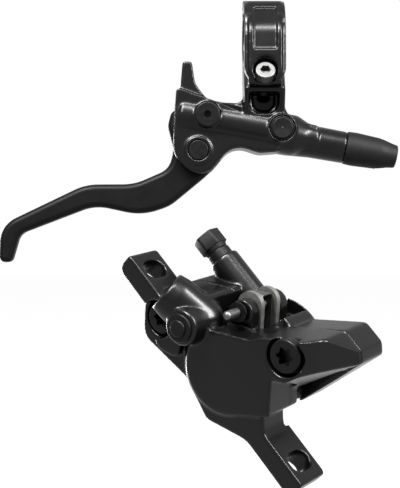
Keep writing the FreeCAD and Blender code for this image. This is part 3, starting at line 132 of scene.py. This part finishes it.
# The solids that keep their own shape, under the finish that each gets
METAL_PARTS = {
    "stainless_steel": ("clamp_hinge_pin", "clamp_bolt", "pad_axle", "pad_spring", "push_rod",
                        "push_rod_pin", "master_spring"),
    "oxide_steel": ("pivot_pin", "pivot_retaining_ring", "piston_retaining_ring", "bleed_screw",
                    "body_bolt_near", "body_bolt_far", "pad_axle_clip", "bleed_nipple", "compression_nut"),
    "zinc_plate": ("outer_pad_plate", "inner_pad_plate"),
    "machined_alloy": ("master_piston",),
}
OTHER_PARTS = {
    "friction_lining": ("outer_pad_lining", "inner_pad_lining"),
    "glazed_resin": ("outer_piston", "inner_piston", "pivot_bush_front", "pivot_bush_back"),
    "rubber": ("secondary_cup", "primary_cup", "bleed_screw_o_ring", "reservoir_diaphragm",
               "passage_o_ring", "outer_piston_seal", "inner_piston_seal"),
    "moulded_plastic": ("reservoir_plug", "passage_plug"),
}

# The nodes that each finish's tree starts with
SHADER = "Principled BSDF"
PLACE = "place"
# The stretch of a noise's values that spans a finish's whole range
NOISE_LOW = 0.3
NOISE_HIGH = 0.7
# The lining's specks lie in cells 1/grain metres wide. From a cell's middle, the speck keeps its colour up to
# the edge, and the lining has its own from the end on.
SPECK_GRAIN = 1400.0
SPECK_EDGE = 0.12
SPECK_END = 0.3

# The pale floor: its radius in metres, the corners of its edge, the grey that takes light and shadow, and
# the white that is seen
FLOOR_RADIUS = 6.0
FLOOR_CORNERS = 96
FLOOR_GREY = 0.07
FLOOR_WHITE = 0.96

# Each soft box in metres: its place from the middle of the brake, its width and its height
SOFT_BOXES = {
    "top": ((-0.1, -0.45, 0.68), 0.6, 0.12),
    "left": ((-0.34, -0.5, 0.62), 0.16, 0.4),
    "right": ((0.62, -0.42, 0.45), 0.1, 0.5),
    "back": ((-0.35, 0.6, -0.05), 0.3, 0.3),
}


class BrakeFinishes(PropertyGroup):
    """Colours and roughnesses of the finishes, kept deep for a white room with strong lamps."""
    casting_colour: FloatVectorProperty(
        name="Castings", description="Colour of the paint on the castings",
        subtype="COLOR", size=3, min=0, max=1, default=(0.0006, 0.0006, 0.00064))
    casting_roughness: FloatProperty(
        name="Castings' roughness", description="How far the paint on the castings spreads a highlight",
        subtype="FACTOR", min=0, max=1, default=0.29)
    blade_colour: FloatVectorProperty(
        name="Blade", description="Colour of the coating on the blade",
        subtype="COLOR", size=3, min=0, max=1, default=(0.001, 0.001, 0.0011))
    blade_roughness: FloatProperty(
        name="Blade's roughness", description="How far the blade's coating spreads a highlight",
        subtype="FACTOR", min=0, max=1, default=0.44)
    steel_colour: FloatVectorProperty(
        name="Bright steel", description="Colour of the stainless and plated parts",
        subtype="COLOR", size=3, min=0, max=1, default=(0.075, 0.075, 0.074))
    black_steel_colour: FloatVectorProperty(
        name="Black steel", description="Colour of the blackened bolts and rings",
        subtype="COLOR", size=3, min=0, max=1, default=(0.0012, 0.0012, 0.00128))
    plate_colour: FloatVectorProperty(
        name="Pad plates", description="Colour of the plates behind the pads' linings",
        subtype="COLOR", size=3, min=0, max=1, default=(0.12, 0.12, 0.116))
    alloy_colour: FloatVectorProperty(
        name="Bare alloy", description="Colour of the master cylinder's piston",
        subtype="COLOR", size=3, min=0, max=1, default=(0.60, 0.61, 0.62))
    lining_colour: FloatVectorProperty(
        name="Linings", description="Colour of the pads' friction material",
        subtype="COLOR", size=3, min=0, max=1, default=(0.06, 0.052, 0.045))
    speck_colour: FloatVectorProperty(
        name="Metal specks", description="Colour of the specks in the friction material",
        subtype="COLOR", size=3, min=0, max=1, default=(0.34, 0.27, 0.18))
    resin_colour: FloatVectorProperty(
        name="Resin", description="Colour of the caliper's pistons and the blade's bushes",
        subtype="COLOR", size=3, min=0, max=1, default=(0.11, 0.10, 0.092))
    rubber_colour: FloatVectorProperty(
        name="Rubber", description="Colour of the boot, the cap and the seals",
        subtype="COLOR", size=3, min=0, max=1, default=(0.0012, 0.00124, 0.0014))
    plastic_colour: FloatVectorProperty(
        name="Plastic", description="Colour of the moulded plugs",
        subtype="COLOR", size=3, min=0, max=1, default=(0.0012, 0.0012, 0.0014))


class BrakeEdges(PropertyGroup):
    """Sizes of the dressed parts' edges and of the cap's strap."""
    casting_softness: IntProperty(
        name="Castings' softness", description="How many rounds of smoothing soften the castings' edges",
        min=0, default=14)
    moulding_rounding: FloatProperty(
        name="Mouldings' edges", description="Width of the rounded edges on the rubber boot and cap",
        subtype="DISTANCE", unit="LENGTH", min=0, precision=5, default=0.0003)
    strap_thickness: FloatProperty(
        name="Strap's thickness", description="Thickness of the strap that holds the rubber cap",
        subtype="DISTANCE", unit="LENGTH", min=0, precision=5, default=0.0008)
    strap_width: FloatProperty(
        name="Strap's width", description="Width of the strap that holds the rubber cap",
        subtype="DISTANCE", unit="LENGTH", min=0, precision=5, default=0.0022)
    strap_radius: FloatProperty(
        name="Strap's radius", description="Radius of the strap's half loop beside the nipple",
        subtype="DISTANCE", unit="LENGTH", min=0, precision=5, default=0.0027)


class BrakeStage(PropertyGroup):
    """Strengths of the stage's lights and the place of its floor."""
    floor_drop: FloatProperty(
        name="Floor's drop", description="How far the floor lies below the lowest point of the brake",
        subtype="DISTANCE", unit="LENGTH", min=0.01, default=0.1)
    room_light: FloatProperty(
        name="Room light", description="Strength of the light that comes from all sides",
        min=0, default=0.3)
    top_light: FloatProperty(
        name="Top light", description="Power of the wide soft box over the brake",
        subtype="POWER", unit="POWER", min=0, default=25.6)
    left_light: FloatProperty(
        name="Left light", description="Power of the tall soft box at the left",
        subtype="POWER", unit="POWER", min=0, default=24.8)
    right_light: FloatProperty(
        name="Right light", description="Power of the tall soft box at the right",
        subtype="POWER", unit="POWER", min=0, default=32.0)
    back_light: FloatProperty(
        name="Back light", description="Power of the square soft box behind the brake",
        subtype="POWER", unit="POWER", min=0, default=4.8)


def add_node(tree, kind, inputs=None, **settings):
    """Adds one node to a tree, sets its settings and the values of its sockets."""
    made = tree.nodes.new(kind)
    for name, value in settings.items():
        setattr(made, name, value)
    for name, value in (inputs or {}).items():
        made.inputs[name].default_value = value
    return made


def join_nodes(tree, giver, output, taker, socket):
    """Links one node's output to another node's socket."""
    tree.links.new(giver.outputs[output], taker.inputs[socket])


def start_finish(name, **sockets):
    """A new material and its tree, with the shader's constant sockets set and the object's coordinates."""
    material = bpy.data.materials.new(name)
    material.use_nodes = True
    tree = material.node_tree
    for socket, value in sockets.items():
        tree.nodes[SHADER].inputs[socket.replace("_", " ")].default_value = value
    add_node(tree, "ShaderNodeTexCoord", name=PLACE)
    return material, tree


def blend_colours(tree, giver, output, stops):
    """Turns a value into the shader's colour, from one stop's place and colour to the other's."""
    ramp = add_node(tree, "ShaderNodeValToRGB")
    for element, (position, colour) in zip(ramp.color_ramp.elements, stops):
        element.position = position
        element.color = [*colour, 1]
    join_nodes(tree, giver, output, ramp, "Fac")
    join_nodes(tree, ramp, "Color", tree.nodes[SHADER], "Base Color")


def add_noise(tree, grain, detail, roughness):
    """A noise in the object's coordinates, with patches 1/grain metres wide."""
    noise = add_node(tree, "ShaderNodeTexNoise", {"Scale": grain, "Detail": detail, "Roughness": roughness})
    join_nodes(tree, tree.nodes[PLACE], "Object", noise, "Vector")
    return noise


def mottle_colour(tree, colour, grain, spread):
    """Varies the colour a little from place to place, in patches of 1/grain metres."""
    noise = add_noise(tree, grain, detail=3.0, roughness=0.55)
    darker = [channel * (1 - spread) for channel in colour]
    lighter = [channel * (1 + spread) for channel in colour]
    blend_colours(tree, noise, "Fac", ((NOISE_LOW, darker), (NOISE_HIGH, lighter)))


def vary_roughness(tree, low, high, grain):
    """Lets the roughness wander between two values, as a handled or blasted surface does."""
    noise = add_noise(tree, grain, detail=4.0, roughness=0.6)
    spread = add_node(tree, "ShaderNodeMapRange",
                      {"From Min": NOISE_LOW, "From Max": NOISE_HIGH, "To Min": low, "To Max": high})
    join_nodes(tree, noise, "Fac", spread, "Value")
    join_nodes(tree, spread, "Result", tree.nodes[SHADER], "Roughness")


def raise_grain(tree, grain, height, strength):
    """Adds a fine random relief of a height in metres, with bumps 1/grain metres apart."""
    noise = add_noise(tree, grain, detail=2.0, roughness=0.5)
    bump = add_node(tree, "ShaderNodeBump", {"Strength": strength, "Distance": height})
    join_nodes(tree, noise, "Fac", bump, "Height")
    join_nodes(tree, bump, "Normal", tree.nodes[SHADER], "Normal")


def casting_paint(finishes):
    """Semi-gloss black paint on blasted aluminium."""
    material, tree = start_finish("casting_paint", Specular_IOR_Level=0.15)
    rough = finishes.casting_roughness
    mottle_colour(tree, finishes.casting_colour, grain=60.0, spread=0.12)
    vary_roughness(tree, low=rough - 0.015, high=rough + 0.02, grain=220.0)
    raise_grain(tree, grain=2600.0, height=0.000003, strength=0.1)
    return material


def blade_coating(finishes):
    """Satin black coating on a pressed aluminium blade."""
    material, tree = start_finish("blade_coating", Specular_IOR_Level=0.06)
    rough = finishes.blade_roughness
    mottle_colour(tree, finishes.blade_colour, grain=45.0, spread=0.1)
    vary_roughness(tree, low=rough - 0.03, high=rough + 0.05, grain=160.0)
    raise_grain(tree, grain=3200.0, height=0.00002, strength=0.3)
    return material


def stainless_steel(finishes):
    """Turned stainless steel with fine tool marks."""
    material, tree = start_finish("stainless_steel", Metallic=1.0)
    mottle_colour(tree, finishes.steel_colour, grain=300.0, spread=0.08)
    vary_roughness(tree, low=0.4, high=0.5, grain=900.0)
    raise_grain(tree, grain=5200.0, height=0.000004, strength=0.15)
    return material


def oxide_steel(finishes):
    """Oiled black oxide on steel."""
    material, tree = start_finish("oxide_steel", Specular_IOR_Level=0.1)
    mottle_colour(tree, finishes.black_steel_colour, grain=260.0, spread=0.2)
    vary_roughness(tree, low=0.3, high=0.42, grain=700.0)
    raise_grain(tree, grain=4200.0, height=0.00001, strength=0.25)
    return material


def zinc_plate(finishes):
    """Punched steel plate with a dull zinc coat."""
    material, tree = start_finish("zinc_plate", Metallic=0.9)
    mottle_colour(tree, finishes.plate_colour, grain=240.0, spread=0.15)
    vary_roughness(tree, low=0.38, high=0.52, grain=500.0)
    raise_grain(tree, grain=3000.0, height=0.00002, strength=0.3)
    return material


def machined_alloy(finishes):
    """Machined aluminium of the master cylinder's piston."""
    material, tree = start_finish("machined_alloy", Metallic=1.0)
    mottle_colour(tree, finishes.alloy_colour, grain=260.0, spread=0.08)
    vary_roughness(tree, low=0.24, high=0.36, grain=900.0)
    raise_grain(tree, grain=4800.0, height=0.00001, strength=0.2)
    return material


def friction_lining(finishes):
    """Pressed friction material with metal specks."""
    material, tree = start_finish("friction_lining", Specular_IOR_Level=0.3)
    specks = add_node(tree, "ShaderNodeTexVoronoi", {"Scale": SPECK_GRAIN})
    join_nodes(tree, tree.nodes[PLACE], "Object", specks, "Vector")
    blend_colours(tree, specks, "Distance",
                  ((SPECK_EDGE, finishes.speck_colour), (SPECK_END, finishes.lining_colour)))
    vary_roughness(tree, low=0.7, high=0.88, grain=900.0)
    raise_grain(tree, grain=1500.0, height=0.00006, strength=0.6)
    return material


def glazed_resin(finishes):
    """Glazed dark resin of the caliper's pistons and the blade's bushes."""
    material, tree = start_finish("glazed_resin", Specular_IOR_Level=0.5)
    mottle_colour(tree, finishes.resin_colour, grain=180.0, spread=0.12)
    vary_roughness(tree, low=0.25, high=0.35, grain=400.0)
    raise_grain(tree, grain=2800.0, height=0.00001, strength=0.3)
    return material


def rubber(finishes):
    """Moulded black rubber with a soft sheen."""
    material, tree = start_finish("rubber", Specular_IOR_Level=0.09)
    mottle_colour(tree, finishes.rubber_colour, grain=120.0, spread=0.15)
    vary_roughness(tree, low=0.5, high=0.62, grain=300.0)
    raise_grain(tree, grain=2400.0, height=0.00003, strength=0.35)
    return material


def moulded_plastic(finishes):
    """Black moulded plastic of the plugs."""
    material, tree = start_finish("moulded_plastic", Specular_IOR_Level=0.09)
    mottle_colour(tree, finishes.plastic_colour, grain=150.0, spread=0.12)
    vary_roughness(tree, low=0.36, high=0.46, grain=400.0)
    raise_grain(tree, grain=2800.0, height=0.00002, strength=0.3)
    return material


FINISHES = {make.__name__: make for make in (
    casting_paint, blade_coating, stainless_steel, oxide_steel, zinc_plate, machined_alloy,
    friction_lining, glazed_resin, rubber, moulded_plastic)}


def give_finish(context, part, name):
    """Makes a finish the part's only one, and makes the finish itself when the first part asks for it."""
    material = bpy.data.materials.get(name) or FINISHES[name](context.scene.brake_finishes)
    part.data.materials.clear()
    part.data.materials.append(material)
    part.data.polygons.foreach_set("material_index", [0] * len(part.data.polygons))


def finish_solids(context, table):
    """Gives every solid of a table the finish that it is listed under."""
    for finish, names in table.items():
        for name in names:
            give_finish(context, NODES[name], finish)


def pick_only(part):
    """Deselects everything and makes one part the selected and active one."""
    bpy.ops.object.select_all(action="DESELECT")
    part.select_set(True)
    bpy.context.view_layer.objects.active = part


def apply_modifier(part, label, kind, **settings):
    """Adds a modifier with its settings to the active part and applies it."""
    modifier = part.modifiers.new(label, kind)
    for name, value in settings.items():
        setattr(modifier, name, value)
    bpy.ops.object.modifier_apply(modifier=modifier.name)


def stand_in_axes(part, axes):
    """Turns and moves a part's mesh by a matrix and leaves the part at the origin."""
    part.matrix_world = axes
    pick_only(part)
    bpy.ops.object.transform_apply(location=True, rotation=True, scale=True)


def round_edges(part, width, least_angle):
    """Rounds the active part's edges that bend more than an angle, and shades the gentle ones smooth."""
    apply_modifier(part, "rounded edges", "BEVEL", width=width, segments=ROUNDING_STEPS,
                   limit_method="ANGLE", angle_limit=math.radians(least_angle))
    bpy.ops.object.shade_smooth_by_angle(angle=math.radians(SMOOTH_ANGLE))


def place_block(matrix):
    """A cutting cube in the pads' axes, moved by a matrix."""
    bpy.ops.object.select_all(action="DESELECT")
    bpy.ops.mesh.primitive_cube_add(size=CUTTER_SIZE * MM)
    block = bpy.context.view_layer.objects.active
    stand_in_axes(block, PAD_AXES @ matrix)
    return block


def cut_away(part, cutter):
    """Takes the cutter's volume out of a part, and the cutter out of the scene."""
    pick_only(part)
    apply_modifier(part, "cut", "BOOLEAN", operation="DIFFERENCE", solver="EXACT", object=cutter)
    bpy.data.objects.remove(cutter)


def stand_block_behind(point, normal, start):
    """A block behind the plane through a point, without what lies before a start along the pads' width."""
    depth = CUTTER_SIZE / 2
    turn = Vector((0, 0, 1)).rotation_difference(normal).to_matrix().to_4x4()
    block = place_block(Matrix.Translation((point - normal * depth) * MM) @ turn)
    cut_away(block, place_block(Matrix.Translation(Vector((start - depth, 0, 0)) * MM)))
    return block


def shape_nose(casting):
    """Cuts the outer casting's nose away below, up to the lower arm, and ramps its top at the window."""
    below = stand_block_behind(NOSE_CUT_POINT, NOSE_CUT_NORMAL, NOSE_CUT_START)
    upright = Matrix.Rotation(math.radians(PAD_TILT), 4, "Y")
    middle = Vector((CUTTER_SIZE / 2, 0, NOSE_CUT_FLOOR - CUTTER_SIZE / 2)) * MM
    cut_away(below, place_block(upright @ Matrix.Translation(middle)))
    cut_away(casting, below)
    cut_away(casting, stand_block_behind(RAMP_POINT, RAMP_NORMAL, RAMP_START))


def weld_copy(solid_name, part_name):
    """Copies a solid as one welded mesh without the frame's own keys."""
    pick_only(NODES[solid_name])
    bpy.ops.object.duplicate()
    part = bpy.context.view_layer.objects.active
    part.name = part_name
    part.data.name = part_name
    part.parent = None
    for key in [key for key in part.keys() if key.startswith("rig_")]:
        del part[key]
    bpy.ops.object.mode_set(mode="EDIT")
    bpy.ops.mesh.select_all(action="SELECT")
    bpy.ops.mesh.remove_doubles(threshold=SOLID_WELD * MM)
    bpy.ops.mesh.customdata_custom_splitnormals_clear()
    bpy.ops.object.mode_set(mode="OBJECT")
    return part


def cast_copy(solid_name, part_name, grid_size, axes, softness, shape=None):
    """Copies a solid as a casting: an even skin along its axes, with edges as a mould leaves them."""
    part = weld_copy(solid_name, part_name)
    if shape:
        shape(part)
    stand_in_axes(part, axes.inverted())
    apply_modifier(part, "even skin", "REMESH", mode="VOXEL", voxel_size=grid_size * MM)
    apply_modifier(part, "soft edges", "SMOOTH", factor=SOFTENING, iterations=softness)
    bpy.ops.object.shade_smooth()
    stand_in_axes(part, axes)
    return part


def mould_cap_strap(context):
    """The narrow strap that keeps the rubber cap on its nipple: half a loop beside the neck."""
    bpy.ops.object.select_all(action="DESELECT")
    bpy.ops.mesh.primitive_plane_add(size=1.0, location=(0, 0, 0))
    strap = context.view_layer.objects.active
    edges = context.scene.brake_edges
    strap.name = "nipple_cap_strap"
    strap.data.name = strap.name
    bpy.ops.object.mode_set(mode="EDIT")
    bpy.ops.mesh.select_all(action="SELECT")
    bpy.ops.transform.resize(value=(edges.strap_thickness, edges.strap_width, 1), center_override=(0, 0, 0))
    bpy.ops.transform.rotate(value=math.radians(90), orient_axis="X", center_override=(0, 0, 0))
    bpy.ops.transform.translate(value=(-edges.strap_radius, 0, 0))
    bpy.ops.mesh.spin(steps=STRAP_STEPS, angle=math.radians(180), center=(0, 0, 0), axis=(0, 0, 1))
    bpy.ops.mesh.select_all(action="SELECT")
    bpy.ops.mesh.remove_doubles(threshold=STRAP_WELD * MM)
    bpy.ops.mesh.normals_make_consistent(inside=False)
    bpy.ops.object.mode_set(mode="OBJECT")
    round_edges(strap, edges.strap_thickness / STRAP_TO_ROUNDING, STRAP_EDGE_ANGLE)
    stand_in_axes(strap, CALIPER_AXES @ Matrix.Translation(STRAP_PLACE * MM))
    return strap


class BRAKE_OT_castings(Operator):
    """Dresses the castings in painted copies with soft edges"""
    bl_idname = "brake.castings"
    bl_label = "Dress the castings"

    def execute(self, context):
        edges = context.scene.brake_edges
        for name, (solid, grid_size) in CASTINGS.items():
            axes = CALIPER_AXES if name.startswith("caliper") else Matrix.Identity(4)
            shape = shape_nose if name == "caliper_outer_casting" else None
            casting = cast_copy(solid, name, grid_size, axes, edges.casting_softness, shape)
            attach(casting, FIXED_BODY)
            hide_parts(solid)
            give_finish(context, casting, "casting_paint")
        return {"FINISHED"}


class BRAKE_OT_blade(Operator):
    """Gives the blade its coating"""
    bl_idname = "brake.blade"
    bl_label = "Coat the blade"

    def execute(self, context):
        give_finish(context, NODES["lever_blade"], "blade_coating")
        return {"FINISHED"}


class BRAKE_OT_mouldings(Operator):
    """Dresses the rubber boot and cap, and adds the cap's strap"""
    bl_idname = "brake.mouldings"
    bl_label = "Dress the rubber mouldings"

    def execute(self, context):
        for name, solid in MOULDINGS.items():
            moulding = weld_copy(solid, name)
            round_edges(moulding, context.scene.brake_edges.moulding_rounding, MOULDING_EDGE_ANGLE)
            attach(moulding, FIXED_BODY)
            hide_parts(solid)
            give_finish(context, moulding, "rubber")
        strap = mould_cap_strap(context)
        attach(strap, FIXED_BODY)
        give_finish(context, strap, "rubber")
        return {"FINISHED"}


class BRAKE_OT_metal_parts(Operator):
    """Finishes the pins, bolts, springs, plates and the master cylinder's piston"""
    bl_idname = "brake.metal_parts"
    bl_label = "Finish the metal parts"

    def execute(self, context):
        finish_solids(context, METAL_PARTS)
        return {"FINISHED"}


class BRAKE_OT_other_parts(Operator):
    """Finishes the linings, the caliper's pistons, bushes, seals and plugs"""
    bl_idname = "brake.other_parts"
    bl_label = "Finish the other small parts"

    def execute(self, context):
        finish_solids(context, OTHER_PARTS)
        return {"FINISHED"}


def choose_by_ray(tree, seen, otherwise):
    """One value for what the camera, a mirror or a clear part sees, and another for light on the brake."""
    path = add_node(tree, "ShaderNodeLightPath")
    first = add_node(tree, "ShaderNodeMath", operation="MAXIMUM")
    second = add_node(tree, "ShaderNodeMath", operation="MAXIMUM")
    join_nodes(tree, path, "Is Camera Ray", first, 0)
    join_nodes(tree, path, "Is Glossy Ray", first, 1)
    join_nodes(tree, first, 0, second, 0)
    join_nodes(tree, path, "Is Transmission Ray", second, 1)
    choice = add_node(tree, "ShaderNodeMapRange", {"To Min": otherwise, "To Max": seen})
    join_nodes(tree, second, 0, choice, "Value")
    return choice


def light_the_room(scene, strength):
    """A white background, and an even light of the given strength on the brake."""
    world = scene.world or bpy.data.worlds.new("room")
    scene.world = world
    world.use_nodes = True
    tree = world.node_tree
    tree.nodes.clear()
    output = add_node(tree, "ShaderNodeOutputWorld")
    glow = add_node(tree, "ShaderNodeBackground", {"Color": (1, 1, 1, 1)})
    join_nodes(tree, choose_by_ray(tree, seen=1.0, otherwise=strength), "Result", glow, "Strength")
    join_nodes(tree, glow, "Background", output, "Surface")


def pale_floor():
    """A floor that is seen as white, with a grey on it that takes the brake's shadow."""
    material = bpy.data.materials.new("pale_floor")
    material.use_nodes = True
    tree = material.node_tree
    tree.nodes.clear()
    output = add_node(tree, "ShaderNodeOutputMaterial")
    matt = add_node(tree, "ShaderNodeBsdfDiffuse", {"Color": (FLOOR_GREY, FLOOR_GREY, FLOOR_GREY, 1)})
    glow = add_node(tree, "ShaderNodeEmission")
    both = add_node(tree, "ShaderNodeAddShader")
    join_nodes(tree, choose_by_ray(tree, seen=FLOOR_WHITE, otherwise=0.0), "Result", glow, "Strength")
    join_nodes(tree, matt, 0, both, 0)
    join_nodes(tree, glow, 0, both, 1)
    join_nodes(tree, both, 0, output, "Surface")
    return material


def lay_floor(height):
    """A wide pale floor below the brake."""
    bpy.ops.object.select_all(action="DESELECT")
    bpy.ops.mesh.primitive_circle_add(vertices=FLOOR_CORNERS, radius=FLOOR_RADIUS, fill_type="NGON",
                                      location=(0, 0, height))
    floor = bpy.context.view_layer.objects.active
    floor.name = "floor"
    floor.data.materials.append(pale_floor())


def hang_soft_box(name, place, target, width, height, power):
    """A rectangular soft light at a place, turned to a target."""
    lamp = bpy.data.lights.new(name, "AREA")
    lamp.shape = "RECTANGLE"
    lamp.size = width
    lamp.size_y = height
    lamp.energy = power
    holder = bpy.data.objects.new(name, lamp)
    bpy.context.scene.collection.objects.link(holder)
    holder.location = place
    holder.rotation_euler = (target - place).to_track_quat("-Z", "Y").to_euler()


def set_camera(scene):
    """The camera of the photograph: level, square to the lever, half a metre away."""
    data = bpy.data.cameras.new("camera")
    data.sensor_fit = "AUTO"
    data.sensor_width = SENSOR_SIDE
    data.lens = SENSOR_SIDE * FOCAL_PIXELS / PHOTO_HEIGHT
    data.clip_start = NEAREST_SEEN
    data.clip_end = FARTHEST_SEEN
    camera = bpy.data.objects.new("camera", data)
    scene.collection.objects.link(camera)
    camera.location = CAMERA_PLACE * MM
    camera.rotation_euler = (math.radians(90), 0, 0)
    scene.camera = camera


class BRAKE_OT_stage(Operator):
    """Sets the camera, the floor and the lights"""
    bl_idname = "brake.stage"
    bl_label = "Set the stage"

    def execute(self, context):
        scene = context.scene
        stage = scene.brake_stage
        scene.view_settings.view_transform = "Standard"
        set_camera(scene)
        low, high = (Vector(corner) for corner in SOLID_BOUNDS)
        middle = (low + high) / 2
        lay_floor(low.z - stage.floor_drop)
        light_the_room(scene, stage.room_light)
        for side, (offset, width, height) in SOFT_BOXES.items():
            power = getattr(stage, side + "_light")
            hang_soft_box(side + "_box", middle + Vector(offset), middle, width, height, power)
        return {"FINISHED"}


class BRAKE_PT_sidebar(Panel):
    """The brake's finishes, edges, stage and steps"""
    bl_label = "Disc brake"
    bl_space_type = "VIEW_3D"
    bl_region_type = "UI"
    bl_category = "Disc brake"

    def draw(self, context):
        scene = context.scene
        layout = self.layout
        for group in (scene.brake_finishes, scene.brake_edges, scene.brake_stage):
            for name in group.bl_rna.properties.keys():
                if name not in ("rna_type", "name"):
                    layout.prop(group, name)
        for step in STEPS:
            layout.operator(step.bl_idname)


STEPS = (BRAKE_OT_stage, BRAKE_OT_castings, BRAKE_OT_blade, BRAKE_OT_mouldings, BRAKE_OT_metal_parts,
         BRAKE_OT_other_parts)
CLASSES = (BrakeFinishes, BrakeEdges, BrakeStage, *STEPS, BRAKE_PT_sidebar)


def register():
    """Registers the classes and hangs their settings on the scene."""
    for part in CLASSES:
        bpy.utils.register_class(part)
    bpy.types.Scene.brake_finishes = PointerProperty(type=BrakeFinishes)
    bpy.types.Scene.brake_edges = PointerProperty(type=BrakeEdges)
    bpy.types.Scene.brake_stage = PointerProperty(type=BrakeStage)


def unregister():
    """Takes back what register did."""
    del bpy.types.Scene.brake_stage
    del bpy.types.Scene.brake_edges
    del bpy.types.Scene.brake_finishes
    for part in reversed(CLASSES):
        bpy.utils.unregister_class(part)


def main():
    """Runs every step in order."""
    register()
    bpy.ops.brake.stage()
    bpy.ops.brake.castings()
    bpy.ops.brake.blade()
    bpy.ops.brake.mouldings()
    bpy.ops.brake.metal_parts()
    bpy.ops.brake.other_parts()


if __name__ == "__main__":
    main()
